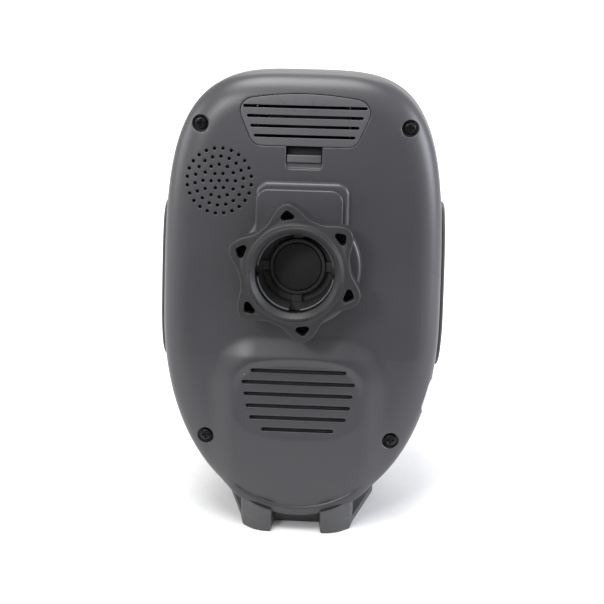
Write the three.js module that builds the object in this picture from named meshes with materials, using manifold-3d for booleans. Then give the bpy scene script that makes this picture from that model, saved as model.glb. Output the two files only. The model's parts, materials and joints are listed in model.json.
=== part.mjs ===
// Electronic game caller: an egg-shaped two-shell case that leans forward on a small foot, with a
// ball-mount socket and star locking nut on its rear. Millimetres. +Z is up, +Y is the way the sound
// goes, and the origin is the middle of the foot's underside.
import * as THREE from 'three';
import { mergeVertices } from 'three/addons/utils/BufferGeometryUtils.js';
import Module from 'manifold-3d';

const wasm = await Module();
wasm.setup();

// ---------------------------------------------------------------- driving dimensions
const GAP = 0.3;                  // clearance between pieces that touch
const LEAN = 14;                  // degrees that the case tips toward its front
const CASE_ORIGIN = [0, -36.1, 6.3];

// case, in its own frame: Y = 0 is the flat of the rear face, Z runs up the case
const HALF_WIDTH = 46.7;
const WIDE_Z = 72;                // height of the widest place
const TOP_Z = 152.1;
const BOTTOM_Z = 1.1;
const TOP_POWER = 3.65;           // squareness of the outline above and below the widest place
const BOTTOM_POWER = 2.25;
const WALL = 2.2;
const SEAM_Y = 26;
const REAR_ROUND = { inset: 11, depth: 10, power: 2.4 };
const FRONT_Y = 56;               // front face at Z = 0
const FRONT_TAPER = 0.09;         // the front face comes nearer by this much per mm of height
const FRONT_ROUND = 9;
const UNDERCUT = 0.33;            // the underside rises by this much per mm toward the front
const OUTER_DETAIL = { points: 36, scales: [0.25, 0.5, 0.72, 0.88], rearSteps: 4, frontSteps: 3 };
const INNER_DETAIL = { points: 24, scales: [0.5], rearSteps: 2, frontSteps: 2 };

// rear face details
const SOCKET_X = -1.2;            // the ball socket's axis stands a little to one side
const SOCKET_Z = 87.7;
const PLATFORM = [                // two steps, each a panel and a disc that meet round the socket
  { height: 1.8, left: -15.5, right: 15.5, topZ: 116.1, corner: 4, discX: -0.4, radius: 20.4 },
  { height: 3.6, left: -15.3, right: 13.5, topZ: 113.8, corner: 4, discX: -1.2, radius: 17.8 },
];
const DOOR = {
  topHalf: 22.3, topZ: 143, archZ: 144.8, bottomHalf: 16.5, bottomZ: 127.8, corner: 4, thickness: 1.6,
};
const DOOR_SLOT = { halfLength: 20.4, shorter: 1.25, height: 0.9, topZ: 140.5, pitch: 3.22 };
const LATCH = {
  halfWidth: 5.6, recessHalf: 6, recessBottom: 120.3, tabTop: 125.2, tabBottom: 122.2, springTop: 127,
};
const REAR_SPEAKER = { x: -27.9, z: 115.6, holeRadius: 0.53, pitch: 2.7, rings: [1, 6, 12, 18, 24] };
const RING_TURN = [0, 3, 1, 7, 9.5];   // degrees that each ring of holes is turned
const FACET = { halfWidth: 21.5, bottomZ: 28.8, topZ: 55.6, power: 2.6, topY: -1.1, slope: 0.055 };
const LOUVRE = { height: 1.25, topZ: 52.4, pitch: 4.07, halfLengths: [16.1, 19.1, 18.4, 17.6, 16.3, 12.2] };
const CASE_SCREWS = [[-34.7, 134.3], [34.7, 134.5], [-31.3, 28.4], [31.5, 28.8]];
const SCREW = { head: 1.95, headHeight: 1.6, shank: 1.2, length: 11, counterbore: 2.9 };
const GRIP = { rearY: 10.5, frontY: 41, bottomZ: 53.5, topZ: 107.5, proud: 1.15, seat: 0.7 };
const PORT = { y: 10, z: 44.2, coverLength: 11.5, coverWidth: 7.6, tilt: 13.5 };

// ball socket and locking nut, all turned about the socket's axis; y is measured from the rear flat
const BALL_RADIUS = 12.75;        // takes a 25.4 mm mounting ball
const BALL_Y = -7.8;
const THREAD_RADIUS = 14.4;
const FINGER_TIP_Y = -11.2;
const NUT = { rimY: -17, faceY: -15.2, flangeBackY: -6.2, hubBackY: -4.2, hub: 17.6, bore: 13 };
const STAR = { valley: 18.1, rise: 4.8, power: 1.5, lobes: 6, tipAngle: 98.9 };
const WINDOW = { radius: 18.75, inward: 1.1, outward: 1.9, halfBase: 2.8, corner: 0.6 };

// front face, in its own frame: y = 0 is the front face, z runs up along it
const DISPLAY = { halfWidth: 23, bottomZ: 112, topZ: 134, corner: 3 };
const MAIN_SPEAKER = { z: 50, grille: 27, opening: 24 };
const KEY_ROWS = [
  { z: 101.5, radius: 4.2, keys: [['previous_key', -15], ['play_key', 0], ['next_key', 15]] },
  { z: 88, radius: 4.2, keys: [['volume_down_key', -15], ['power_key', 0], ['volume_up_key', 15]] },
];
const KEY = { proud: 1, shellGap: 0.4, flange: 1 };

// foot, in the frame of the whole part
const FOOT = {
  rearY: -31, frontY: 31, tabHalf: 18.4, tabCorner: 7, notchHalf: 8.5, notchDepth: 6.2, notchDraft: 1,
  flareHalf: 25.6, flareRearY: -23, flareFrontY: -2, rimHeight: 3, rimWidth: 2.6, floorHeight: 1.5, top: 12,
};

// ---------------------------------------------------------------- solids and geometry helpers
const toRad = THREE.MathUtils.degToRad;

// a closed solid from a geometry: shared corners are merged, flat slivers dropped, and faces turned outward
function solid(geometry) {
  const bare = geometry.index ? geometry.toNonIndexed() : geometry.clone();
  bare.deleteAttribute('normal');
  bare.deleteAttribute('uv');
  const merged = mergeVertices(bare, 1e-4);
  const corners = merged.index.array;
  const point = (i) => new THREE.Vector3().fromBufferAttribute(merged.attributes.position, i);
  const triangles = [];
  let volume = 0;
  for (let i = 0; i < corners.length; i += 3) {
    const [a, b, c] = corners.slice(i, i + 3);
    if (a === b || b === c || c === a) continue;
    triangles.push([a, b, c]);
    volume += point(a).dot(point(b).cross(point(c)));
  }
  const outward = volume > 0 ? triangles : triangles.map(([a, b, c]) => [a, c, b]);
  return new wasm.Manifold(new wasm.Mesh({
    numProp: 3,
    vertProperties: new Float32Array(merged.attributes.position.array),
    triVerts: new Uint32Array(outward.flat()),
  }));
}

function geometryOf(manifold) {
  const mesh = manifold.getMesh();
  const geometry = new THREE.BufferGeometry();
  geometry.setAttribute('position', new THREE.BufferAttribute(new Float32Array(mesh.vertProperties), 3));
  geometry.setIndex(new THREE.BufferAttribute(new Uint32Array(mesh.triVerts), 1));
  geometry.computeVertexNormals();
  return geometry;
}

// a shape drawn in (x, z), pushed along Y from y0 to y1
function plate(shape, y0, y1, curveSegments = 4) {
  const geometry = new THREE.ExtrudeGeometry(shape, { depth: y1 - y0, bevelEnabled: false, curveSegments });
  geometry.rotateX(Math.PI / 2);
  geometry.translate(0, y1, 0);
  return geometry;
}

// a shape drawn in (x, y), pushed up along Z
function slab(shape, z0, z1, curveSegments = 4) {
  const geometry = new THREE.ExtrudeGeometry(shape, { depth: z1 - z0, bevelEnabled: false, curveSegments });
  geometry.translate(0, 0, z0);
  return geometry;
}

// a shape drawn in (y, z), pushed along X from -halfWidth to +halfWidth
function profile(shape, halfWidth) {
  const geometry = new THREE.ExtrudeGeometry(shape, {
    depth: 2 * halfWidth, bevelEnabled: false, curveSegments: 4,
  });
  geometry.translate(0, 0, -halfWidth);
  const axes = new THREE.Matrix4().makeBasis(
    new THREE.Vector3(0, 1, 0), new THREE.Vector3(0, 0, 1), new THREE.Vector3(1, 0, 0));
  return geometry.applyMatrix4(axes);
}

function box(x0, x1, y0, y1, z0, z1) {
  return new THREE.BoxGeometry(x1 - x0, y1 - y0, z1 - z0)
    .translate((x0 + x1) / 2, (y0 + y1) / 2, (z0 + z1) / 2);
}

// a cylinder along Y at (x, z)
function rod(radius, y0, y1, x = 0, z = 0, segments = 12) {
  return new THREE.CylinderGeometry(radius, radius, y1 - y0, segments).translate(x, (y0 + y1) / 2, z);
}

// a closed [radius, y] profile turned about the Y axis, then moved to (x, z)
function turned(points, x = 0, z = 0, segments = 40) {
  const closed = points[0][0] === 0 ? points : [...points, points[0]];
  const outline = closed.map(([radius, y]) => new THREE.Vector2(radius, y));
  return new THREE.LatheGeometry(outline, segments).translate(x, 0, z);
}

function polygon(points) {
  return new THREE.Shape(points.map(([a, b]) => new THREE.Vector2(a, b)));
}

// a polygon whose corners are rounded, each by its own radius: points are [x, z, radius]
function rounded(points) {
  const shape = new THREE.Shape();
  points.forEach(([x, z, radius], i) => {
    const before = points[(i + points.length - 1) % points.length];
    const after = points[(i + 1) % points.length];
    const toBefore = new THREE.Vector2(before[0] - x, before[1] - z).normalize();
    const toAfter = new THREE.Vector2(after[0] - x, after[1] - z).normalize();
    const reach = radius / Math.tan(Math.acos(toBefore.dot(toAfter)) / 2);
    const start = [x + toBefore.x * reach, z + toBefore.y * reach];
    if (i === 0) shape.moveTo(...start);
    else shape.lineTo(...start);
    shape.quadraticCurveTo(x, z, x + toAfter.x * reach, z + toAfter.y * reach);
  });
  shape.closePath();
  return shape;
}

function roundedRect(x0, x1, z0, z1, radius) {
  return rounded([[x0, z0, radius], [x1, z0, radius], [x1, z1, radius], [x0, z1, radius]]);
}

// a slot with round ends, lying along X
function stadium(halfLength, height, z) {
  const radius = height / 2;
  const shape = new THREE.Shape();
  shape.moveTo(-halfLength + radius, z - radius);
  shape.lineTo(halfLength - radius, z - radius);
  shape.absarc(halfLength - radius, z, radius, -Math.PI / 2, Math.PI / 2);
  shape.lineTo(-halfLength + radius, z + radius);
  shape.absarc(-halfLength + radius, z, radius, Math.PI / 2, 1.5 * Math.PI);
  return shape;
}

// closed solid through rings of points, each ring with the same number of points
function loft(rings) {
  const count = rings[0].length;
  const middle = (ring) => ring.reduce((sum, p) => sum.add(p), new THREE.Vector3()).divideScalar(count);
  const points = [...rings.flat(), middle(rings[0]), middle(rings.at(-1))];
  const first = points.length - 2;
  const last = points.length - 1;
  const triangles = [];
  for (let i = 0; i < count; i++) {
    const j = (i + 1) % count;
    triangles.push(first, i, j);
    triangles.push(last, (rings.length - 1) * count + j, (rings.length - 1) * count + i);
    for (let k = 0; k < rings.length - 1; k++) {
      const a = k * count + i;
      const b = k * count + j;
      triangles.push(a, a + count, b, b, a + count, b + count);
    }
  }
  const geometry = new THREE.BufferGeometry().setFromPoints(points);
  geometry.setIndex(triangles);
  return geometry;
}

// a wire or spring: a round section carried along a curve
function wire(points, radius, steps) {
  const section = new THREE.Shape();
  section.absarc(0, 0, radius, 0, 2 * Math.PI);
  return new THREE.ExtrudeGeometry(section, {
    steps, curveSegments: 2, extrudePath: new THREE.CatmullRomCurve3(points), bevelEnabled: false,
  });
}

// points of a coil that runs along X from (x, y, z)
function helix(x, y, z, radius, length, turns, points) {
  return Array.from({ length: points + 1 }, (_, i) => {
    const turn = (i / points) * turns * 2 * Math.PI;
    const along = (i / points) * length;
    const [u, v] = [radius * Math.cos(turn), radius * Math.sin(turn)];
    return new THREE.Vector3(x + along, y + u, z + v);
  });
}

// ---------------------------------------------------------------- the case's shape
const smooth = (t) => {
  const s = Math.min(1, Math.max(0, t));
  return s * s * (3 - 2 * s);
};

// how far the rear face stands back from the flat: a crown near the top, a belly below the socket, and a
// slope from the belly to the case's lower tip
function rearRelief(x, z) {
  const crown = z > 100 ? 1.9 * ((z - 100) / 45) ** 2 : 0;
  const across = 0.9 * (x / 36) ** 2;
  const belly = -2.2 * smooth((64.5 - z) / 10) * (1 - smooth((Math.abs(x) - 17) / 18));
  const below = Math.max(0, 57 - z);
  return crown + across + belly + 0.05 * below + 0.001 * below * below;
}

// point of the case's outline at an angle, moved inward by inset
function outlinePoint(angle, inset) {
  const c = Math.cos(angle);
  const s = Math.abs(Math.sin(angle));
  const isTop = Math.sin(angle) >= 0;
  const height = isTop ? TOP_Z - WIDE_Z : WIDE_Z - BOTTOM_Z;
  const xPower = isTop ? TOP_POWER : 2;
  const zPower = isTop ? TOP_POWER : BOTTOM_POWER;
  const x = HALF_WIDTH * Math.sign(c) * Math.abs(c) ** (2 / xPower);
  const rise = height * s ** (2 / zPower);
  const normal = new THREE.Vector2(
    (xPower * Math.sign(c) * Math.abs(c) ** (2 - 2 / xPower)) / HALF_WIDTH,
    (zPower * s ** (2 - 2 / zPower)) / height).normalize();
  const up = isTop ? 1 : -1;
  return [x - inset * normal.x, WIDE_Z + up * (rise - inset * normal.y)];
}

// ring of the case: inset from the outline and scaled about its middle, at depth y; relief is the share of
// the rear face's relief that it takes, and taper the share of the front face's taper
function caseRing(points, inset, y, { scale = 1, relief = 0, taper = 0 } = {}) {
  return Array.from({ length: points }, (_, i) => {
    const [x, z] = outlinePoint((i / points) * 2 * Math.PI, inset);
    const flatZ = WIDE_Z + (z - WIDE_Z) * scale;
    const low = (TOP_Z - flatZ) / (TOP_Z - BOTTOM_Z);
    const ringZ = flatZ + UNDERCUT * Math.max(0, y - REAR_ROUND.depth) * low;
    const ringY = y + relief * rearRelief(x * scale, ringZ) - taper * FRONT_TAPER * ringZ;
    return new THREE.Vector3(x * scale, ringY, ringZ);
  });
}

// the whole case as one block, shrunk on every side by shrink (a negative value grows it)
function caseBlock(shrink, { points, scales, rearSteps, frontSteps } = OUTER_DETAIL) {
  const { inset, depth, power } = REAR_ROUND;
  const front = FRONT_Y - shrink;
  const radius = FRONT_ROUND - shrink;
  const rings = scales.map((scale) => caseRing(points, inset, shrink, { scale, relief: 1 }));
  for (let i = 0; i <= rearSteps; i++) {
    const turn = (i / rearSteps) * (Math.PI / 2);
    const flat = Math.abs(Math.cos(turn)) ** (2 / power);
    const inward = shrink + (inset - shrink) * (1 - Math.sin(turn) ** (2 / power));
    rings.push(caseRing(points, inward, depth - (depth - shrink) * flat, { relief: flat }));
  }
  rings.push(caseRing(points, shrink, SEAM_Y));
  for (let i = 0; i <= frontSteps; i++) {
    const turn = (i / frontSteps) * (Math.PI / 2);
    const y = front - radius * (1 - Math.sin(turn));
    const taper = (y - SEAM_Y) / (front - SEAM_Y);
    rings.push(caseRing(points, shrink + 0.6 + radius * (1 - Math.cos(turn)), y, { taper }));
  }
  rings.push(caseRing(points, FRONT_ROUND + 0.6, front, { scale: 0.5, taper: 1 }));
  return solid(loft(rings));
}

const outer = caseBlock(0);
const inner = caseBlock(WALL, INNER_DETAIL);
const rearHalf = solid(box(-80, 80, -60, SEAM_Y - 0.6, -40, 200));
const frontHalf = solid(box(-80, 80, SEAM_Y + 0.6, 90, -40, 200));

// matrix that takes the front face's frame to the case's frame
const frontFrame = new THREE.Matrix4().makeRotationX(Math.atan(FRONT_TAPER)).setPosition(0, FRONT_Y, 0);
const onFront = (geometry) => solid(geometry.clone().applyMatrix4(frontFrame));

// matrix that takes the case's frame to the part's frame
const caseFrame = new THREE.Matrix4().makeRotationX(-toRad(LEAN)).setPosition(...CASE_ORIGIN);
const inCase = (geometry) => solid(geometry.clone().applyMatrix4(caseFrame.clone().invert()));

// ---------------------------------------------------------------- the scene graph and finishes
const part = new THREE.Group();
const caseGroup = new THREE.Group();
caseGroup.applyMatrix4(caseFrame);
part.add(caseGroup);
const frontGroup = new THREE.Group();
frontGroup.applyMatrix4(frontFrame);
caseGroup.add(frontGroup);

const FINISHES = {
  shell: { color: 0x55555a, roughness: 0.6, metalness: 0 },
  dark: { color: 0x3c3c40, roughness: 0.55, metalness: 0 },
  rubber: { color: 0x2c2c2f, roughness: 0.8, metalness: 0 },
  silicone: { color: 0xd9dfe2, roughness: 0.35, metalness: 0 },
  key: { color: 0x6d6f73, roughness: 0.7, metalness: 0 },
  blackSteel: { color: 0x1e1e20, roughness: 0.35, metalness: 0.8 },
  nickel: { color: 0xc9c4b4, roughness: 0.3, metalness: 0.9 },
  board: { color: 0x1f5b3a, roughness: 0.5, metalness: 0 },
  chip: { color: 0x17181a, roughness: 0.5, metalness: 0 },
  copper: { color: 0xb5713a, roughness: 0.35, metalness: 0.9 },
  lens: { color: 0x101417, roughness: 0.08, metalness: 0 },
  paper: { color: 0x26262a, roughness: 0.9, metalness: 0 },
  cell: { color: 0x3a5f8a, roughness: 0.4, metalness: 0.2 },
  red: { color: 0xa8201a, roughness: 0.5, metalness: 0 },
  black: { color: 0x151515, roughness: 0.5, metalness: 0 },
};

function addPiece(group, name, shape, finish) {
  const body = shape instanceof THREE.BufferGeometry ? solid(shape) : shape;
  const mesh = new THREE.Mesh(geometryOf(body), new THREE.MeshStandardMaterial(FINISHES[finish]));
  mesh.name = name;
  group.add(mesh);
}

// ---------------------------------------------------------------- side grips and charge port
const gripShape = (grow) => {
  const { rearY, frontY, bottomZ, topZ } = GRIP;
  return roundedRect(rearY - grow, frontY + grow, bottomZ - grow, topZ + grow, 9);
};
const gripPocket = solid(profile(gripShape(GAP), 60)).subtract(caseBlock(GRIP.seat + GAP));
const gripBand = solid(profile(gripShape(0), 60)).intersect(caseBlock(-GRIP.proud))
  .subtract(caseBlock(GRIP.seat));
const rightHalf = solid(box(5, 80, -60, 90, -40, 200));
const leftHalf = solid(box(-80, -5, -60, 90, -40, 200));
addPiece(caseGroup, 'right_side_grip', gripBand.intersect(rightHalf), 'rubber');
addPiece(caseGroup, 'left_side_grip', gripBand.intersect(leftHalf), 'rubber');

const COVER = { proud: 0.6, seat: 0.8 };
const PORT_WALL_X = 43.8;         // the case's side at the port's height
const coverShape = (grow) => {
  const [halfY, halfZ] = [PORT.coverWidth / 2 + grow, PORT.coverLength / 2 + grow];
  return roundedRect(PORT.y - halfY, PORT.y + halfY, PORT.z - halfZ, PORT.z + halfZ, 2.6);
};
const atPort = (geometry, inward) =>
  solid(geometry.rotateY(toRad(PORT.tilt)).translate(PORT_WALL_X - inward, PORT.y, PORT.z));
const coverPocket = solid(profile(coverShape(GAP), 60)).subtract(caseBlock(COVER.seat + GAP))
  .intersect(rightHalf);
const chargeCover = solid(profile(coverShape(0), 60)).intersect(caseBlock(-COVER.proud))
  .subtract(caseBlock(COVER.seat)).intersect(rightHalf);
addPiece(caseGroup, 'charge_port_cover', chargeCover, 'silicone');
const socketSleeve = atPort(box(-7, 0, -1.65, 1.65, -4.45, 4.45), 2);
const socketMouth = atPort(box(-5.5, 1, -1.25, 1.25, -4.05, 4.05), 2);
addPiece(caseGroup, 'charge_socket', socketSleeve.subtract(socketMouth), 'nickel');
addPiece(caseGroup, 'charge_board', atPort(box(-13, -3.5, 1.95, 3.15, -8, 8), 2), 'board');

// ---------------------------------------------------------------- rear shell
const doorShape = (grow) => rounded([
  [-DOOR.bottomHalf - grow, DOOR.bottomZ - grow, DOOR.corner],
  [DOOR.bottomHalf + grow, DOOR.bottomZ - grow, DOOR.corner],
  [DOOR.topHalf + grow, DOOR.topZ - 1.5 + grow, DOOR.corner * 0.8],
  [DOOR.topHalf * 0.75, DOOR.archZ - 0.6 + grow, DOOR.corner],
  [0, DOOR.archZ + grow, 8],
  [-DOOR.topHalf * 0.75, DOOR.archZ - 0.6 + grow, DOOR.corner],
  [-DOOR.topHalf - grow, DOOR.topZ - 1.5 + grow, DOOR.corner * 0.8],
]);

const SCREW_FLOOR_Y = 6.2;        // floor of every counterbore
const BOSS_END_Y = SCREW_FLOOR_Y + 1.5;
const SHELL_MEET = 0.5;           // gap between the two shells' bosses

function speakerHoles() {
  const holes = [];
  REAR_SPEAKER.rings.forEach((count, ring) => {
    for (let i = 0; i < count; i++) {
      const turn = (i / count) * 2 * Math.PI + toRad(RING_TURN[ring]);
      const reach = ring * REAR_SPEAKER.pitch;
      const [x, z] = [REAR_SPEAKER.x + reach * Math.cos(turn), REAR_SPEAKER.z + reach * Math.sin(turn)];
      holes.push(solid(rod(REAR_SPEAKER.holeRadius, -3, 6, x, z, 5)));
    }
  });
  return wasm.Manifold.union(holes);
}

function louvres(y0, y1) {
  return wasm.Manifold.union(LOUVRE.halfLengths.map((halfLength, i) =>
    solid(plate(stadium(halfLength, LOUVRE.height, LOUVRE.topZ - i * LOUVRE.pitch), y0, y1, 2))));
}

// the flat cut into the belly that carries the louvres: a squared oval, leaning a little
function facetCut() {
  const { halfWidth, bottomZ, topZ, power, topY, slope } = FACET;
  const half = (topZ - bottomZ) / 2;
  const cornerCount = 32;
  const squared = (value) => Math.sign(value) * Math.abs(value) ** (2 / power);
  const oval = polygon(Array.from({ length: cornerCount }, (_, i) => {
    const angle = (i / cornerCount) * 2 * Math.PI;
    return [halfWidth * squared(Math.cos(angle)), half * squared(Math.sin(angle))];
  }));
  return plate(oval, -14, 0).rotateX(Math.atan(slope)).translate(0, topY + slope * half, bottomZ + half);
}

// raised platform round the socket
function platform() {
  const steps = PLATFORM.map(({ height, left, right, topZ, corner, discX, radius }) => {
    const panel = roundedRect(left, right, SOCKET_Z, topZ, corner);
    const disc = rod(radius, -height, 1.5, discX, SOCKET_Z, 28);
    return solid(plate(panel, -height, 1.5)).add(solid(disc));
  });
  return wasm.Manifold.union(steps);
}

const footScrews = [-9, 9].map((x) => [x, -20]);
const FOOT_SCREW = { head: 2.6, headTop: 3.5, shank: 1.2, top: 17 };
// a cylinder along Z at (x, y)
function upright(radius, z0, z1, x, y) {
  return new THREE.CylinderGeometry(radius, radius, z1 - z0, 12).rotateX(Math.PI / 2)
    .translate(x, y, (z0 + z1) / 2);
}

function rearShell() {
  const pocketWall = 1.2;
  const { recessHalf, recessBottom } = LATCH;
  let shell = outer.subtract(inner).add(platform());
  const pocket = solid(box(-recessHalf - pocketWall, recessHalf + pocketWall, 1, 7.6,
    recessBottom - pocketWall, DOOR.bottomZ - 1));
  shell = shell.add(pocket.intersect(outer));
  for (const [x, z] of CASE_SCREWS) {
    shell = shell.add(solid(rod(4.4, 1, BOSS_END_Y, x, z)).intersect(outer));
  }
  for (const [x, y] of footScrews) {
    shell = shell.add(inCase(upright(3, 4, 18, x, y)).intersect(outer));
  }
  shell = shell.intersect(rearHalf);
  shell = shell.subtract(solid(rod(THREAD_RADIUS + 0.4, -10, 6, SOCKET_X, SOCKET_Z, 28)));
  shell = shell.subtract(solid(plate(doorShape(GAP), -10, 6.6)));
  shell = shell.subtract(solid(box(-recessHalf, recessHalf, -10, 6.4, recessBottom, DOOR.bottomZ + 1)));
  for (const [x, z] of CASE_SCREWS) {
    shell = shell.subtract(solid(rod(SCREW.counterbore, -10, SCREW_FLOOR_Y, x, z)));
    shell = shell.subtract(solid(rod(SCREW.shank + GAP, 0, 12, x, z, 12)));
  }
  for (const [x, y] of footScrews) {
    shell = shell.subtract(inCase(upright(FOOT_SCREW.shank + GAP, 0, 17.6, x, y)));
  }
  shell = shell.subtract(solid(facetCut())).subtract(louvres(-8, 8)).subtract(speakerHoles());
  shell = shell.subtract(gripPocket).subtract(coverPocket);
  return shell.subtract(atPort(box(-9, 4, -2, 2, -4.8, 4.8), 2));
}
addPiece(caseGroup, 'rear_shell', rearShell(), 'shell');

for (const [i, [x, z]] of CASE_SCREWS.entries()) {
  const headBack = SCREW_FLOOR_Y - GAP;
  const headFront = headBack - SCREW.headHeight;
  const crossArm = (halfX, halfZ) =>
    solid(box(x - halfX, x + halfX, headFront - 1, headFront + 0.9, z - halfZ, z + halfZ));
  const screw = solid(rod(SCREW.head, headFront, headBack, x, z))
    .add(solid(rod(SCREW.shank, headBack - 0.2, headBack + SCREW.length, x, z, 12)));
  const crossed = screw.subtract(crossArm(1.25, 0.3)).subtract(crossArm(0.3, 1.25));
  addPiece(caseGroup, `case_screw_${i + 1}`, crossed, 'blackSteel');
}

// ---------------------------------------------------------------- battery door, latch and battery
function batteryDoor() {
  const { halfLength, shorter, height, topZ, pitch } = DOOR_SLOT;
  const skin = outer.subtract(caseBlock(DOOR.thickness)).intersect(rearHalf);
  const slots = [0, 1, 2, 3].map((i) =>
    solid(plate(stadium(halfLength - shorter * i, height, topZ - pitch * i), -8, 8, 2)));
  return skin.intersect(solid(plate(doorShape(0), -10, 20))).subtract(wasm.Manifold.union(slots));
}
addPiece(caseGroup, 'battery_door', batteryDoor(), 'shell');

function doorLatch() {
  const { tabTop, tabBottom, springTop, halfWidth } = LATCH;
  const outline = polygon([
    [0.9, tabBottom], [5.5, tabBottom - 1], [5.5, springTop], [4.6, springTop],
    [4.6, tabBottom + 0.1], [2.2, tabBottom + 0.9], [2.2, tabTop], [1.2, tabTop],
  ]);
  return profile(outline, halfWidth);
}
addPiece(caseGroup, 'door_latch', doorLatch(), 'shell');

const CELL = { radius: 7.8, x0: -12.6, x1: 14.2, y: 13.6, z: 136.9 };
const TRAY = { halfX: 17.6, rearY: 6.2, frontY: 22.8, bottomZ: 127.8, topZ: 146.2, wall: 1.1 };
function batteryTray() {
  const { halfX, rearY, frontY, bottomZ, topZ, wall } = TRAY;
  const block = solid(box(-halfX, halfX, rearY, frontY, bottomZ, topZ));
  const leadHole = (x) => solid(box(x - 1, x + 1, frontY - 3, frontY + 2, bottomZ + 4, bottomZ + 6));
  const inside = box(-halfX + wall, halfX - wall, rearY - 1, frontY - wall, bottomZ + wall, topZ - wall);
  return block.subtract(solid(inside)).subtract(leadHole(-15.4)).subtract(leadHole(15.4));
}
addPiece(caseGroup, 'battery_tray', batteryTray(), 'dark');
addPiece(caseGroup, 'battery_cell',
  new THREE.CylinderGeometry(CELL.radius, CELL.radius, CELL.x1 - CELL.x0, 32).rotateZ(Math.PI / 2)
    .translate((CELL.x0 + CELL.x1) / 2, CELL.y, CELL.z), 'cell');
addPiece(caseGroup, 'positive_contact', box(14.5, 15, 7, 19, 130, 144.3), 'nickel');
addPiece(caseGroup, 'negative_contact', box(-16.2, -15.8, 7, 19, 130, 144.3), 'nickel');
addPiece(caseGroup, 'negative_spring', wire(helix(-15.2, CELL.y, CELL.z, 3.4, 2.1, 3, 24), 0.28, 30),
  'nickel');

// ---------------------------------------------------------------- ball socket, clamp ring, locking nut
// each is modelled about its own axis, which the group carries to its place on the rear face
const socketGroup = new THREE.Group();
socketGroup.position.set(SOCKET_X, 0, SOCKET_Z);
caseGroup.add(socketGroup);

function ballSocket() {
  const floorTop = 0.8;
  const floorBack = 4.6;
  const hubRadius = 9.4;
  const wallInner = 11.8;
  const ball = (y) => Math.sqrt(BALL_RADIUS ** 2 - (y - BALL_Y) ** 2);
  const insideCurve = [-11.2, -9.5, -7.8, -6, -4.2, -3].map((y) => [ball(y), y]);
  const barrel = turned([
    ...insideCurve, [wallInner, -2.6], [wallInner, floorBack], [18, floorBack], [18, 2.7],
    [THREAD_RADIUS, 2.7], [THREAD_RADIUS, -9.6], [13, FINGER_TIP_Y],
  ], 0, 0, 28);
  const hub = rod(hubRadius, floorTop, floorBack, 0, 0, 24);
  let socket = solid(barrel).add(solid(hub));
  for (const [halfX, halfZ] of [[wallInner + 0.5, 1.7], [1.7, wallInner + 0.5]]) {
    const rib = box(-halfX, halfX, floorTop + 0.8, floorBack, -halfZ, halfZ);
    socket = socket.add(solid(rib));
  }
  for (const [halfX, halfZ] of [[20, 1.95], [1.95, 20]]) {
    socket = socket.subtract(solid(box(-halfX, halfX, -20, -3, -halfZ, halfZ)));
  }
  return socket.subtract(solid(rod(8.2, -1, 2.4, 0, 0, 24)));
}
addPiece(socketGroup, 'ball_socket', ballSocket(), 'dark');
addPiece(socketGroup, 'socket_pad', rod(7.9, 1.1, 2.1, 0, 0, 24), 'rubber');
addPiece(socketGroup, 'clamp_ring', turned([
  [14.5, -11.7], [14.5, -14.1], [13.15, -14.1], [13.15, -13.2], [14, -11.7],
], 0, 0, 28), 'dark');

// outline of the star: six round lobes with hollow flanks
function starShape() {
  const { valley, rise, power, lobes, tipAngle } = STAR;
  const steps = 48;
  const shape = polygon(Array.from({ length: steps }, (_, i) => {
    const angle = (i / steps) * 2 * Math.PI;
    const lobe = (1 + Math.cos(lobes * angle)) / 2;
    const radius = valley + rise * lobe ** power;
    const turn = angle + toRad(tipAngle);
    return [radius * Math.cos(turn), radius * Math.sin(turn)];
  }));
  for (let i = 0; i < lobes; i++) {
    const turn = toRad(tipAngle) + (i / lobes) * 2 * Math.PI;
    const [c, s] = [Math.cos(turn), Math.sin(turn)];
    const { radius, inward, outward, halfBase, corner } = WINDOW;
    const corners = [[radius - inward, -halfBase], [radius - inward, halfBase], [radius + outward, 0]];
    shape.holes.push(rounded(corners.map(([out, side]) =>
      [out * c - side * s, out * s + side * c, corner])));
  }
  return shape;
}

function lockingNut() {
  const { rimY, faceY, flangeBackY, hubBackY, hub, bore } = NUT;
  const threadBore = THREAD_RADIUS + 0.45;
  const star = solid(plate(starShape(), faceY, flangeBackY, 2));
  const core = solid(turned([
    [bore, -14.5], [bore, faceY], [15.1, rimY], [15.7, rimY],
    [17.2, faceY + 0.1], [17.2, flangeBackY + 0.1], [hub, flangeBackY + 0.1], [hub, hubBackY],
    [threadBore, hubBackY], [threadBore, -14.5],
  ], 0, 0, 28));
  const clear = solid(rod(16.2, -30, 10, 0, 0, 28));
  return star.subtract(clear).add(core);
}
addPiece(socketGroup, 'locking_nut', lockingNut(), 'dark');

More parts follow.
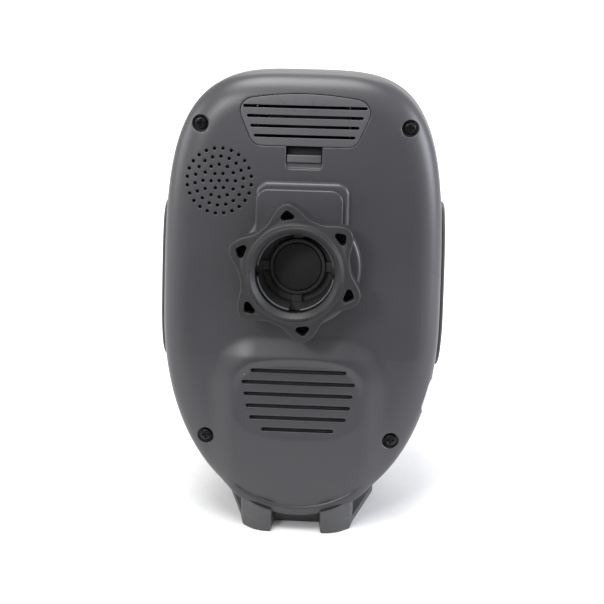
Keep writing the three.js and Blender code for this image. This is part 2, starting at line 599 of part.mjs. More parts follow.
// ---------------------------------------------------------------- front shell and what sits in it
function frontShell() {
  const inside = caseBlock(WALL + 2 * GAP, INNER_DETAIL);
  let shell = outer.subtract(inner);
  for (const [x, z] of CASE_SCREWS) {
    shell = shell.add(solid(rod(3.2, SEAM_Y, 60, x, z)).intersect(outer));
  }
  shell = shell.intersect(frontHalf);
  for (const [x, z] of CASE_SCREWS) {
    shell = shell.add(solid(rod(3.2, BOSS_END_Y + SHELL_MEET, SEAM_Y + 2, x, z)).intersect(inside));
    shell = shell.subtract(solid(rod(SCREW.shank + GAP, 0, 20, x, z, 12)));
  }
  const { halfWidth, bottomZ, topZ, corner } = DISPLAY;
  const lensSeat = roundedRect(-halfWidth, halfWidth, bottomZ, topZ, corner);
  shell = shell.subtract(onFront(plate(lensSeat, -1.6, 5)));
  shell = shell.subtract(onFront(plate(roundedRect(-20.5, 20.5, bottomZ + 2.5, topZ - 2.5, 1), -9, 5)));
  shell = shell.subtract(onFront(rod(MAIN_SPEAKER.grille + GAP, -1.8, 5, 0, MAIN_SPEAKER.z, 28)));
  shell = shell.subtract(onFront(rod(MAIN_SPEAKER.opening, -9, 5, 0, MAIN_SPEAKER.z, 28)));
  for (const { z, radius, keys } of KEY_ROWS) {
    for (const [, x] of keys) shell = shell.subtract(onFront(rod(radius + GAP, -9, 5, x, z, 12)));
  }
  shell = shell.subtract(onFront(rod(1.5, -9, 5, 0, 139.5, 12)));
  return shell.subtract(gripPocket);
}
addPiece(caseGroup, 'front_shell', frontShell(), 'shell');

function shellGasket() {
  const seamRing = (inset) =>
    caseRing(OUTER_DETAIL.points, inset, SEAM_Y).map(({ x, z }) => new THREE.Vector2(x, z));
  const band = new THREE.Shape(seamRing(0.4));
  band.holes.push(new THREE.Path(seamRing(WALL - 0.2)));
  return solid(plate(band, SEAM_Y - GAP, SEAM_Y + GAP)).subtract(gripPocket);
}
addPiece(caseGroup, 'shell_gasket', shellGasket(), 'rubber');

function speakerGrille() {
  const radius = MAIN_SPEAKER.grille;
  const rows = [-3, -2, -1, 0, 1, 2, 3];
  const slots = rows.map((row) => {
    const z = row * 6;
    return solid(plate(stadium(Math.sqrt((radius - 3.5) ** 2 - z * z), 2, MAIN_SPEAKER.z + z), -4, 4, 2));
  });
  return solid(rod(radius, -1.5, 0, 0, MAIN_SPEAKER.z, 28)).subtract(wasm.Manifold.union(slots));
}
addPiece(frontGroup, 'speaker_grille', speakerGrille(), 'blackSteel');
addPiece(frontGroup, 'speaker_basket', turned([
  [26, -2.5], [26, -3.7], [24.9, -3.7], [16, -15], [16, -16],
  [7, -16], [7, -15], [15, -15], [24.3, -3.4], [24.3, -2.5],
], 0, MAIN_SPEAKER.z, 20), 'blackSteel');
addPiece(frontGroup, 'speaker_magnet', rod(15, -24, -16.3, 0, MAIN_SPEAKER.z, 20), 'nickel');
addPiece(frontGroup, 'speaker_surround', turned([
  [21.6, -4.6], [22, -3.5], [22.5, -3.1], [23, -3.5], [23.2, -4], [22.9, -4.1], [22.5, -3.7], [22, -4.3],
], 0, MAIN_SPEAKER.z, 20), 'rubber');
addPiece(frontGroup, 'speaker_cone', turned([
  [21.3, -4.4], [21.3, -5], [6.5, -12.4], [6.3, -11.8],
], 0, MAIN_SPEAKER.z, 20), 'paper');
addPiece(frontGroup, 'speaker_dust_cap', turned([
  [0, -9.4], [3.2, -10], [6, -11.9], [5.6, -12.4], [3, -10.8], [0, -10.2],
], 0, MAIN_SPEAKER.z, 16), 'paper');

addPiece(frontGroup, 'display_lens', plate(roundedRect(-22.7, 22.7, 112.3, 133.7, 2.8), -1.3, 0), 'lens');
addPiece(frontGroup, 'display_module', box(-21, 21, -7.4, -2.6, 113.5, 132.5), 'chip');
addPiece(frontGroup, 'status_light', rod(1.2, -6, 0.3, 0, 139.5, 16), 'silicone');

for (const { z, radius, keys } of KEY_ROWS) {
  const back = -WALL - KEY.shellGap;
  for (const [name, x] of keys) {
    const cap = solid(rod(radius, back - 0.1, KEY.proud, x, z, 12));
    addPiece(frontGroup, name, cap.add(solid(rod(radius + KEY.flange, back - 0.8, back, x, z, 12))), 'key');
  }
}
addPiece(frontGroup, 'keypad_mat', plate(roundedRect(-22, 22, 81.5, 108, 3), -5.6, -4.7), 'rubber');

// boards and what is soldered to them, behind the display and the keys
addPiece(frontGroup, 'main_board', plate(roundedRect(-30, 30, 80, 138, 3), -9.3, -7.9), 'board');
addPiece(frontGroup, 'audio_chip', box(-22, -10, -11.4, -9.6, 90, 102), 'chip');
addPiece(frontGroup, 'memory_chip', box(4, 15, -11, -9.6, 89, 97), 'chip');
addPiece(frontGroup, 'radio_shield', box(12, 28, -13, -9.6, 112, 128), 'nickel');
addPiece(frontGroup, 'antenna_coil', wire(helix(-24, -12.4, 126, 2, 12, 4, 32), 0.35, 32), 'copper');

// ---------------------------------------------------------------- rear speaker
addPiece(caseGroup, 'rear_speaker_frame', turned([
  [12.4, 5.6], [12.4, 6.4], [12, 6.4], [12, 10.4], [4, 10.4], [4, 9.6], [11.4, 9.6], [11.4, 5.6],
], REAR_SPEAKER.x, REAR_SPEAKER.z, 16), 'blackSteel');
addPiece(caseGroup, 'rear_speaker_cone', turned([
  [0, 6.2], [5, 7.8], [11, 6.6], [11, 7], [5, 8.6], [0, 7],
], REAR_SPEAKER.x, REAR_SPEAKER.z, 16), 'paper');
const rearMagnet = rod(7, 10.8, 14.5, REAR_SPEAKER.x, REAR_SPEAKER.z, 16);
addPiece(caseGroup, 'rear_speaker_magnet', rearMagnet, 'nickel');

// ---------------------------------------------------------------- leads
const LEAD_RADIUS = 0.5;
function lead(points) {
  return wire(points.map((p) => new THREE.Vector3(...p)), LEAD_RADIUS, 2 * points.length);
}
addPiece(caseGroup, 'battery_lead_red', lead([
  [15.7, 17, 132.6], [15.7, 20, 132.8], [15.8, 25.5, 131], [17, 28.5, 124], [17, 30.5, 116],
]), 'red');
addPiece(caseGroup, 'battery_lead_black', lead([
  [-15.1, 18.5, 132.8], [-15.2, 25.5, 132], [-17, 28.5, 122], [-17, 31.5, 112],
]), 'black');
addPiece(frontGroup, 'speaker_lead_red', lead([
  [3, -17.6, 66.5], [3, -20, 71], [3, -16, 78], [3, -11, 82],
]), 'red');
addPiece(frontGroup, 'speaker_lead_black', lead([
  [-3, -17.6, 66.5], [-3, -20, 71], [-3, -16, 78], [-3, -11, 82],
]), 'black');

// ---------------------------------------------------------------- foot
function footprint(shrink) {
  const { rearY, frontY, tabHalf, tabCorner, flareHalf, flareRearY, flareFrontY } = FOOT;
  const right = [
    [tabHalf - shrink, rearY + shrink, tabCorner], [tabHalf + 1 - shrink, flareRearY, 1],
    [flareHalf - shrink, flareFrontY, 1], [flareHalf - shrink, frontY - shrink, 8],
  ];
  return rounded([...right, ...right.map(([x, y, r]) => [-x, y, r]).reverse()]);
}

function foot() {
  const { rearY, tabHalf, notchHalf, notchDepth, notchDraft, rimHeight, rimWidth, floorHeight, top } = FOOT;
  const upperHalf = 16;
  const columnShape = rounded([
    [-tabHalf, rearY, FOOT.tabCorner], [tabHalf, rearY, FOOT.tabCorner], [tabHalf, rearY + 8, 0.5],
    [upperHalf, rearY + 12, 1], [upperHalf, 20, 3], [-upperHalf, 20, 3], [-upperHalf, rearY + 12, 1],
    [-tabHalf, rearY + 8, 0.5]]);
  const notchRight = [
    [notchHalf, rearY - 5], [notchHalf, rearY], [notchHalf - notchDraft, rearY + notchDepth],
  ];
  const notch = polygon([...notchRight, ...notchRight.map(([x, y]) => [-x, y]).reverse()]);
  const caseBelow = solid(geometryOf(caseBlock(-GAP)).applyMatrix4(caseFrame));
  const caseEdge = polygon(caseRing(OUTER_DETAIL.points, -GAP, 0).map(({ x, z }) => [x, z]));
  const behindCase = solid(plate(caseEdge, -20, 9).applyMatrix4(caseFrame));
  let block = solid(slab(footprint(0), 0, rimHeight))
    .subtract(solid(slab(footprint(rimWidth), floorHeight, rimHeight + 1)));
  block = block.add(solid(slab(columnShape, 0, top)));
  block = block.subtract(solid(slab(notch, -1, top + 1))).subtract(caseBelow).subtract(behindCase);
  for (const [x, y] of footScrews) {
    block = block.subtract(solid(upright(FOOT_SCREW.head + GAP, -1, FOOT_SCREW.headTop + GAP, x, y)));
    block = block.subtract(solid(upright(FOOT_SCREW.shank + GAP, -1, 30, x, y)));
  }
  return block;
}
addPiece(part, 'foot', foot(), 'dark');
for (const [i, [x, y]] of footScrews.entries()) {
  const { head, headTop, shank, top } = FOOT_SCREW;
  const screw = solid(upright(head, headTop - 1.6, headTop, x, y))
    .add(solid(upright(shank, headTop - 0.2, top, x, y)));
  addPiece(part, `foot_screw_${i + 1}`, screw, 'blackSteel');
}

export default part;
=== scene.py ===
# Looks of the electronic game caller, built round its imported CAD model. Dimensions are in
# millimetres in the case's own frame (Y = 0 is the flat of the rear face, Z runs up the case)
# until build() turns them into metres in the frame of the whole part.
import json
import math

import bmesh
import bpy
import numpy as np
from mathutils import Matrix, Vector


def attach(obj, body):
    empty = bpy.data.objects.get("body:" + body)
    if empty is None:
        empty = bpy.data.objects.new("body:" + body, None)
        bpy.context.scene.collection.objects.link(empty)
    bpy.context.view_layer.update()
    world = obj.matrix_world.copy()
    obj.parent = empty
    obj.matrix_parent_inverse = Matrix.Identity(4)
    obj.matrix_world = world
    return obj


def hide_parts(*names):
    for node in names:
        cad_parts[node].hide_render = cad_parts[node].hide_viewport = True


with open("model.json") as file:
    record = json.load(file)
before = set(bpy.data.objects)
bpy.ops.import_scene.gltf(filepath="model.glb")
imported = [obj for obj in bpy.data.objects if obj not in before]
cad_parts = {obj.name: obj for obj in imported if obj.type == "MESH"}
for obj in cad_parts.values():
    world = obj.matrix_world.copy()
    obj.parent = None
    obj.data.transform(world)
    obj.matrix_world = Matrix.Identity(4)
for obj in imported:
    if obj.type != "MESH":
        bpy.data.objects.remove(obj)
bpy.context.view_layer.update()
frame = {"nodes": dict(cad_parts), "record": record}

# ---------------------------------------------------------------- driving dimensions
LEAN = 14                         # degrees that the case tips toward its front
CASE_ORIGIN = (0, -36.1, 6.3)
HALF_WIDTH = 46.7
WIDE_Z = 72                       # height of the widest place
TOP_Z = 152.1
BOTTOM_Z = 1.1
TOP_POWER = 3.65                  # squareness of the outline above the widest place, and below it
BOTTOM_POWER = 2.25
WALL = 2.2
REAR_DEPTH = 10                   # the rear edge is rounded over this depth and this inset
REAR_INSET = 11
REAR_POWER = 2.4
REAR_SEAM = 25.4
FRONT_SEAM = 26.6
FRONT_Y = 56
FRONT_TAPER = 0.09
FRONT_ROUND = 9
FRONT_DRAFT = 0.6                 # inset of the side wall where the front edge's rounding starts
TAPER_Y = 26                      # depth from which the front shell tapers
UNDERCUT = 0.33                   # rise of the case's bottom for each millimetre of depth
GAP = 0.3                         # clearance between neighbouring pieces
SOCKET_X = -1.2
SOCKET_Z = 87.7
OUTLINE_POINTS = 480

CASE = Matrix.Translation(CASE_ORIGIN) @ Matrix.Rotation(-math.radians(LEAN), 4, "X")
FRONT = CASE @ Matrix.Translation((0, FRONT_Y, 0)) @ Matrix.Rotation(math.atan(FRONT_TAPER), 4, "X")
SOCKET = CASE @ Matrix.Translation((SOCKET_X, 0, SOCKET_Z))
PART = Matrix.Identity(4)


# ---------------------------------------------------------------- mesh helpers
def build(name, points, faces, place=CASE):
    """A mesh object from points in millimetres, placed in metres, with its faces turned outward."""
    matrix = np.array(place)
    world = (np.asarray(points, float) @ matrix[:3, :3].T + matrix[:3, 3]) / 1000
    mesh = bpy.data.meshes.new(name)
    mesh.from_pydata(world.tolist(), [], faces)
    shape = bmesh.new()
    shape.from_mesh(mesh)
    bmesh.ops.remove_doubles(shape, verts=shape.verts, dist=1e-6)
    bmesh.ops.recalc_face_normals(shape, faces=shape.faces)
    shape.to_mesh(mesh)
    shape.free()
    obj = bpy.data.objects.new(name, mesh)
    bpy.context.scene.collection.objects.link(obj)
    return obj


def loft(name, rings, place=CASE, closed=False):
    """A skin through rings with the same number of points each: closed on itself, or with end faces."""
    rings = np.asarray(rings, float)
    levels, count = rings.shape[:2]
    around = [(i, (i + 1) % count) for i in range(count)]
    steps = [(k, k + 1) for k in range(levels - 1)]
    if closed:
        steps.append((levels - 1, 0))
    faces = [
        (a * count + i, a * count + j, b * count + j, b * count + i)
        for a, b in steps for i, j in around
    ]
    for k in (0, levels - 1):
        if not closed and np.ptp(rings[k], 0).max() > 0:
            faces.append(list(range(k * count, (k + 1) * count)))
    return build(name, rings.reshape(-1, 3), faces, place)


def carve(target, cutter, operation="DIFFERENCE"):
    """Cuts the second solid from the first, or joins it, or keeps what they share; the second is dropped."""
    modifier = target.modifiers.new("carve", "BOOLEAN")
    modifier.operation = operation
    modifier.solver = "MANIFOLD"
    modifier.object = cutter
    graph = bpy.context.evaluated_depsgraph_get()
    mesh = bpy.data.meshes.new_from_object(target.evaluated_get(graph))
    target.modifiers.remove(modifier)
    target.data = mesh
    bpy.data.objects.remove(cutter)
    return target


def join(objs):
    """One object that holds the meshes of several."""
    first = objs[0]
    shape = bmesh.new()
    for obj in objs:
        shape.from_mesh(obj.data)
    shape.to_mesh(first.data)
    shape.free()
    for obj in objs[1:]:
        bpy.data.objects.remove(obj)
    return first


# ---------------------------------------------------------------- outlines
def resample(outline, count):
    """The same closed outline with evenly spaced points."""
    closed = np.vstack([outline, outline[:1]])
    lengths = np.hypot(*np.diff(closed, axis=0).T)
    along = np.concatenate([[0], np.cumsum(lengths)])
    at = np.linspace(0, along[-1], count, endpoint=False)
    return np.column_stack([np.interp(at, along, closed[:, k]) for k in (0, 1)])


def rounded(corners, count=96):
    """Outline of a polygon whose corners, each (a, b, radius) and counter-clockwise, are true arcs."""
    points = []
    for i, (a, b, radius) in enumerate(corners):
        corner = np.array([a, b], float)
        before = np.array(corners[i - 1][:2]) - corner
        after = np.array(corners[(i + 1) % len(corners)][:2]) - corner
        before, after = before / np.hypot(*before), after / np.hypot(*after)
        half = math.acos(max(-1, min(1, before @ after))) / 2
        middle = (before + after) / np.hypot(*(before + after))
        centre = corner + middle * radius / math.sin(half)
        start = corner + before * radius / math.tan(half) - centre
        end = corner + after * radius / math.tan(half) - centre
        sweep = math.atan2(start[0] * end[1] - start[1] * end[0], start @ end)
        for t in np.linspace(0, 1, 9):
            c, s = math.cos(sweep * t), math.sin(sweep * t)
            points.append(centre + [start[0] * c - start[1] * s, start[0] * s + start[1] * c])
    return resample(np.array(points), count)


def rectangle(a0, a1, b0, b1, radius, count=96):
    return rounded([(a0, b0, radius), (a1, b0, radius), (a1, b1, radius), (a0, b1, radius)], count)


def circle(radius, a=0, b=0, count=64):
    turn = np.linspace(0, 2 * math.pi, count, endpoint=False)
    return np.column_stack([a + radius * np.cos(turn), b + radius * np.sin(turn)])


def offset(outline, grow):
    """The outline moved outward along its own normals."""
    tangent = np.roll(outline, -1, 0) - np.roll(outline, 1, 0)
    normal = np.column_stack([tangent[:, 1], -tangent[:, 0]])
    return outline + grow * normal / np.hypot(*normal.T)[:, None]


def contour(distance, centre, reach, level=0, count=240):
    """Closed curve where a signed distance has a level, seen from a centre inside it."""
    turn = np.linspace(0, 2 * math.pi, count, endpoint=False)
    way = np.column_stack([np.cos(turn), np.sin(turn)])
    near, far = np.zeros(count), np.full(count, float(reach))
    for _ in range(40):
        middle = (near + far) / 2
        points = centre + way * middle[:, None]
        inside = distance(points[:, 0], points[:, 1]) < level
        near, far = np.where(inside, middle, near), np.where(inside, far, middle)
    return resample(centre + way * near[:, None], count)


# ---------------------------------------------------------------- solids from outlines
def turn_edge(wall, face, steps=4):
    """Levels (grow, height) of a quarter round that leaves a side wall and ends on a face."""
    turns = np.linspace(0, math.pi / 2, steps + 1)
    return [
        (wall[0] + (face[0] - wall[0]) * (1 - math.cos(t)), wall[1] + (face[1] - wall[1]) * math.sin(t))
        for t in turns
    ]


def block(start, end, first=0.0, last=0.0, steps=4):
    """Levels of a straight-sided block whose edges at the two ends are rounded by first and last."""
    way = 1 if end > start else -1
    near = turn_edge((0, start + way * first), (-first, start), steps)[::-1] if first else [(0, start)]
    far = turn_edge((0, end - way * last), (-last, end), steps) if last else [(0, end)]
    return near + far


def lay(plane, a, b, height):
    """Points of a ring: plane names the two axes of the outline, and height runs along the third."""
    columns = {"xz": (a, height, b), "xy": (a, b, height), "yz": (height, a, b)}[plane]
    return np.column_stack(np.broadcast_arrays(*columns))


def stack(name, outline, levels, place=CASE, plane="xz", surface=None, fill=()):
    """A solid through copies of an outline, each (grow, height). With a surface, heights are measured
    from it. fill adds copies that shrink toward the middle, so that the last face can be curved."""
    copies = [(offset(outline, grow), height) for grow, height in levels]
    last, height = copies[-1]
    middle = last.mean(0)
    copies += [(middle + (last - middle) * scale, height) for scale in fill]
    rings = []
    for points, height in copies:
        a, b = points.T
        rings.append(lay(plane, a, b, height + (surface(a, b) if surface else 0)))
    return loft(name, rings, place)


def mouth(outline, floor, edge, out=-1, surface=None, place=CASE):
    """A cutter that sinks an outline into a face to a flat floor and rounds the rim by edge."""
    rim = turn_edge((0, -out * edge), (edge, 0), 3)[::-1]
    rings = []
    for grow, height in [(edge, out * 4), *rim, (0, None)]:
        a, b = offset(outline, grow).T
        level = surface(a, b) if surface else 0
        rings.append(lay("xz", a, b, np.full(len(a), float(floor)) if height is None else level + height))
    return loft("cutter", rings, place)


def soften(profile, steps=4):
    """Points of a closed profile of (radius, y, rounding); a corner with no rounding stays sharp."""
    points = []
    for i, (r, y, radius) in enumerate(profile):
        corner = np.array([r, y], float)
        if radius == 0:
            points.append(corner)
            continue
        before = np.array(profile[i - 1][:2]) - corner
        after = np.array(profile[(i + 1) % len(profile)][:2]) - corner
        before, after = before / np.hypot(*before), after / np.hypot(*after)
        reach = radius / math.tan(math.acos(max(-1, min(1, before @ after))) / 2)
        for t in np.linspace(0, 1, steps + 1):
            points.append(corner + (1 - t) ** 2 * before * reach + t * t * after * reach)
    return points


def turned(name, profile, place=SOCKET, count=128):
    """A solid turned about the frame's Y axis. A profile that starts on the axis is closed by it."""
    angles = np.linspace(0, 2 * math.pi, count, endpoint=False)
    c, s = np.cos(angles), np.sin(angles)
    rings = [np.column_stack([r * c, np.full(count, y), r * s]) for r, y in soften(profile)]
    return loft(name, rings, place, closed=profile[0][0] > 0)


# ---------------------------------------------------------------- the case's shape
def smooth(t):
    s = np.clip(t, 0, 1)
    return s * s * (3 - 2 * s)


CROWN = {"z": 100, "depth": 1.9, "length": 45}
BELLY = {"half_width": 14, "top": 48, "corner": 7, "blend": 10, "proud": 2.2}
TAIL = {"z": 57, "slope": 0.05, "curve": 0.001}
ACROSS = {"depth": 0.9, "half_width": 36}
FACET = {
    "half_width": 21.6, "bottom": 28.8, "top": 55.6, "power": 2.9, "top_y": -1.1, "slope": 0.045,
    "edge": 3,
}


def rear_relief(x, z):
    """How far the rear face stands back from the flat: its crown, its sweep across, its belly and tail."""
    crown = CROWN["depth"] * (np.maximum(0, z - CROWN["z"]) / CROWN["length"]) ** 2
    across = ACROSS["depth"] * (x / ACROSS["half_width"]) ** 2
    out_x = np.maximum(np.abs(x) - BELLY["half_width"], 0)
    out_z = np.maximum(z - BELLY["top"], 0)
    belly = -BELLY["proud"] * (1 - smooth((np.hypot(out_x, out_z) - BELLY["corner"]) / BELLY["blend"]))
    below = np.maximum(0, TAIL["z"] - z)
    return crown + across + belly + TAIL["slope"] * below + TAIL["curve"] * below ** 2


def rear_face(x, z):
    """The rear face's relief with the facet for the louvres sunk into the belly."""
    face = rear_relief(x, z)
    half = (FACET["top"] - FACET["bottom"]) / 2
    middle = (FACET["top"] + FACET["bottom"]) / 2
    power = FACET["power"]
    ratio = (np.abs(x / FACET["half_width"]) ** power + np.abs((z - middle) / half) ** power) ** (1 / power)
    beyond = (ratio - 1) * np.hypot(x, z - middle) / np.maximum(ratio, 1e-6)
    plane = FACET["top_y"] + FACET["slope"] * (FACET["top"] - z)
    share = 1 - smooth(0.5 + beyond / FACET["edge"])
    return face + share * np.maximum(0, plane - face)


def case_outline():
    """The case's outline with even spacing, and its outward normals."""
    angle = np.linspace(0, 2 * math.pi, 20000, endpoint=False)
    c, s = np.cos(angle), np.abs(np.sin(angle))
    top = np.sin(angle) >= 0
    x = HALF_WIDTH * np.sign(c) * np.abs(c) ** np.where(top, 2 / TOP_POWER, 1)
    above = (TOP_Z - WIDE_Z) * s ** (2 / TOP_POWER)
    below = (WIDE_Z - BOTTOM_Z) * s ** (2 / BOTTOM_POWER)
    rise = np.where(top, above, -below)
    points = resample(np.column_stack([x, WIDE_Z + rise]), OUTLINE_POINTS)
    return points, offset(points, 1) - points


OUTLINE, OUTWARD = case_outline()


def rounding(inset):
    """Share of the rear face's relief left at an inset from the outline: 1 on the face, 0 on the side."""
    across = np.clip(1 - np.asarray(inset, float) / REAR_INSET, 0, 1) ** (REAR_POWER / 2)
    return (1 - across ** 2) ** (1 / REAR_POWER)


def rear_height(x, z):
    """Height of the rear face's outside at any point, its rounded edge included."""
    x, z = np.atleast_1d(x), np.atleast_1d(z)
    away = np.hypot(x[:, None] - OUTLINE[None, :, 0], z[:, None] - OUTLINE[None, :, 1]).min(1)
    flat = rounding(np.minimum(away, REAR_INSET))
    return REAR_DEPTH * (1 - flat) + flat * rear_face(x, z)


# the lip round the bottom edge: how far it stands back at each inset, out to a crease
LIP = {
    "crease": 3.2,
    "inset": [0, 0.25, 0.6, 1.2, 2.0, 2.6, 2.95, 3.2],
    "stand": [0.3, 0.05, -0.1, -0.3, -0.35, -0.3, -0.15, 0],
    "fade_z": 12.5,
    "fade_length": 6,
}


def case_ring(inset, y, scale=1, relief=0, taper=0, lip=False):
    """Ring of the case, inset from its outline, in the same terms as the CAD source."""
    x, z = (OUTLINE - inset * OUTWARD).T
    z = WIDE_Z + (z - WIDE_Z) * scale
    x = x * scale
    low = (TOP_Z - z) / (TOP_Z - BOTTOM_Z)
    z = z + UNDERCUT * max(0, y - REAR_DEPTH) * low
    height = y + relief * rear_face(x, z) - taper * FRONT_TAPER * z
    if lip:
        crease = rounding(LIP["crease"])
        floor = REAR_DEPTH * (1 - crease) + crease * rear_face(x, z)
        lifted = floor + np.interp(inset, LIP["inset"], LIP["stand"])
        share = smooth((LIP["fade_z"] - OUTLINE[:, 1]) / LIP["fade_length"])
        height = height + share * (lifted - height)
    return np.column_stack([x, height, z])


def rear_outside():
    """Rings of the rear shell's outside, from its middle over the edge to the seam."""
    rings = [case_ring(REAR_INSET, 0, scale=s, relief=1) for s in np.linspace(0.01, 0.992, 116)]
    for inset in [11, 10, 9, 8, 7, 6.2, 5.4, 4.7, 4.1, 3.6]:
        flat = float(rounding(inset))
        rings.append(case_ring(inset, REAR_DEPTH * (1 - flat), relief=flat))
    for inset in [3.2, 2.95, 2.6, 2.3, 2, 1.6, 1.2, 0.9, 0.6, 0.4, 0.25, 0.12, 0.04, 0]:
        flat = float(rounding(inset))
        rings.append(case_ring(inset, REAR_DEPTH * (1 - flat), relief=flat, lip=True))
    return rings + [case_ring(0, y) for y in (11.5, 14, 18, 22, REAR_SEAM - 0.3)]


def rear_rings():
    """Rings of the whole rear shell, from the middle of its outside to the middle of its inside."""
    rings = rear_outside() + [case_ring(0.25, REAR_SEAM)]
    rings += [case_ring(WALL, y) for y in (REAR_SEAM, 11)]
    for inset in (4, 7, REAR_INSET):
        flat = float(rounding(inset)) * (REAR_DEPTH - WALL) / REAR_DEPTH
        rings.append(case_ring(inset, REAR_DEPTH * (1 - flat), relief=0.75))
    rings += [case_ring(REAR_INSET, WALL, scale=s, relief=1) for s in (0.75, 0.5, 0.25, 0.02)]
    return rings


def draft(y):
    """Inset of the front shell's side wall at a depth."""
    return FRONT_DRAFT * np.maximum(0, y - TAPER_Y) / (FRONT_Y - FRONT_ROUND - TAPER_Y)


def slant(y):
    """Share of the front face's slope at a depth."""
    return (y - TAPER_Y) / (FRONT_Y - TAPER_Y)


def front_outside():
    """Rings of the front shell's outside, from its middle over the edge to the seam."""
    inner = FRONT_DRAFT + FRONT_ROUND
    rings = [case_ring(inner, FRONT_Y, scale=s, taper=1) for s in (0.02, 0.25, 0.5, 0.75, 0.9)]
    for turn in np.linspace(math.pi / 2, 0, 15):
        y = FRONT_Y - FRONT_ROUND * (1 - math.sin(turn))
        rings.append(case_ring(inner - FRONT_ROUND * math.cos(turn), y, taper=slant(y)))
    return rings + [case_ring(draft(y), y, taper=slant(y)) for y in (41, 36, 31, FRONT_SEAM + 0.3)]


def front_rings():
    """Rings of the whole front shell, from the middle of its outside to the middle of its inside."""
    rings = front_outside() + [case_ring(0.25, FRONT_SEAM)]
    rings += [case_ring(WALL, FRONT_SEAM), case_ring(WALL + FRONT_DRAFT, 45, taper=0.6)]
    rings += [case_ring(6, 53, taper=0.9), case_ring(FRONT_ROUND + 1, FRONT_Y - WALL, taper=1)]
    rings += [case_ring(FRONT_ROUND + 1, FRONT_Y - WALL, scale=s, taper=1) for s in (0.5, 0.02)]
    return rings


def case_block(grow):
    """The whole case as one solid, larger all round by grow."""
    rings = np.array(rear_outside() + front_outside()[::-1])[:, ::3]
    middle = (rings.max((0, 1)) + rings.min((0, 1))) / 2
    half = np.ptp(rings, (0, 1)) / 2
    return loft("case_block", middle + (rings - middle) * (1 + grow / half))


def side_x(y, z):
    """Distance of the case's side wall from the middle, at a depth and a height."""
    y, z = np.broadcast_arrays(np.asarray(y, float), np.asarray(z, float))
    lift = UNDERCUT * np.maximum(0, y - REAR_DEPTH) / (TOP_Z - BOTTOM_Z)
    rise = (z - lift * TOP_Z) / (1 - lift) - WIDE_Z
    above = (1 - np.abs(rise / (TOP_Z - WIDE_Z)) ** TOP_POWER) ** (1 / TOP_POWER)
    below = (1 - np.abs(rise / (WIDE_Z - BOTTOM_Z)) ** BOTTOM_POWER) ** 0.5
    edge = np.clip(1 - y / REAR_DEPTH, 0, 1)
    inset = REAR_INSET * (1 - (1 - edge ** REAR_POWER) ** (1 / REAR_POWER))
    return HALF_WIDTH * np.where(rise > 0, above, below) - inset - draft(y)


# ---------------------------------------------------------------- materials
def wire(tree, socket, node, output=0):
    tree.links.new(node.outputs[output], socket)


def node(tree, kind, **settings):
    made = tree.nodes.new(kind)
    for name, value in settings.items():
        if name in made.inputs:
            made.inputs[name].default_value = value
        else:
            setattr(made, name, value)
    return made


def add_specks(tree, where, base, amount):
    """A few small dust specks over a base colour: a dot in the middle of one cell in eight or so."""
    cells = node(tree, "ShaderNodeTexVoronoi", Scale=170.0, Randomness=1.0)
    wire(tree, cells.inputs["Vector"], where, "Object")
    dot = node(tree, "ShaderNodeMapRange")
    dot.inputs["From Min"].default_value = 0.05
    dot.inputs["From Max"].default_value = 0.025
    wire(tree, dot.inputs["Value"], cells, "Distance")
    pick = node(tree, "ShaderNodeMapRange")
    pick.inputs["From Min"].default_value = 0.86
    pick.inputs["From Max"].default_value = 0.9
    pick.inputs["To Max"].default_value = amount
    split = node(tree, "ShaderNodeSeparateColor")
    wire(tree, split.inputs[0], cells, "Color")
    wire(tree, pick.inputs["Value"], split)
    both = node(tree, "ShaderNodeMath", operation="MULTIPLY")
    wire(tree, both.inputs[0], dot)
    wire(tree, both.inputs[1], pick)
    dusty = node(tree, "ShaderNodeMix", data_type="RGBA")
    dusty.inputs[7].default_value = (0.45, 0.44, 0.42, 1)
    wire(tree, dusty.inputs[0], both)
    wire(tree, dusty.inputs[6], base, 2)
    return dusty


def finish_of(name, color, rough, grain=0.25, depth=0.03, vary=0.06, metal=0.0, specks=0.0, sheen=0.0,
              **extra):
    """A procedural finish: a base colour with slow and fine variation, a grain of that size in millimetres
    and depth in millimetres as bump, roughness that varies with it, and a few dust specks."""
    material = bpy.data.materials.new(name)
    material.use_nodes = True
    tree = material.node_tree
    shader = tree.nodes["Principled BSDF"]
    shader.inputs["Metallic"].default_value = metal
    shader.inputs["Sheen Weight"].default_value = sheen
    for socket, value in extra.items():
        shader.inputs[socket.replace("_", " ")].default_value = value
    where = node(tree, "ShaderNodeTexCoord")
    slow = node(tree, "ShaderNodeTexNoise", Scale=28.0, Detail=3.0, Roughness=0.55)
    fine = node(tree, "ShaderNodeTexNoise", Scale=1000 / grain / 2, Detail=2.0, Roughness=0.6)
    for texture in (slow, fine):
        wire(tree, texture.inputs["Vector"], where, "Object")
    tone = node(tree, "ShaderNodeMix", data_type="RGBA")
    tone.inputs[6].default_value = [c * (1 - vary) for c in color] + [1]
    tone.inputs[7].default_value = [min(1, c * (1 + vary)) for c in color] + [1]
    wire(tree, tone.inputs[0], slow)
    shade = node(tree, "ShaderNodeMix", data_type="RGBA", blend_type="OVERLAY")
    shade.inputs[0].default_value = 0.12
    wire(tree, shade.inputs[6], tone, 2)
    wire(tree, shade.inputs[7], fine, "Color")
    if specks:
        shade = add_specks(tree, where, shade, specks)
    wire(tree, shader.inputs["Base Color"], shade, 2)
    spread = node(tree, "ShaderNodeMapRange")
    spread.inputs["To Min"].default_value = max(0.02, rough - 0.06)
    spread.inputs["To Max"].default_value = min(1, rough + 0.06)
    wire(tree, spread.inputs["Value"], slow)
    wire(tree, shader.inputs["Roughness"], spread)
    bump = node(tree, "ShaderNodeBump", Strength=1.0, Distance=depth / 1000)
    wire(tree, bump.inputs["Height"], fine)
    wire(tree, shader.inputs["Normal"], bump)
    return material


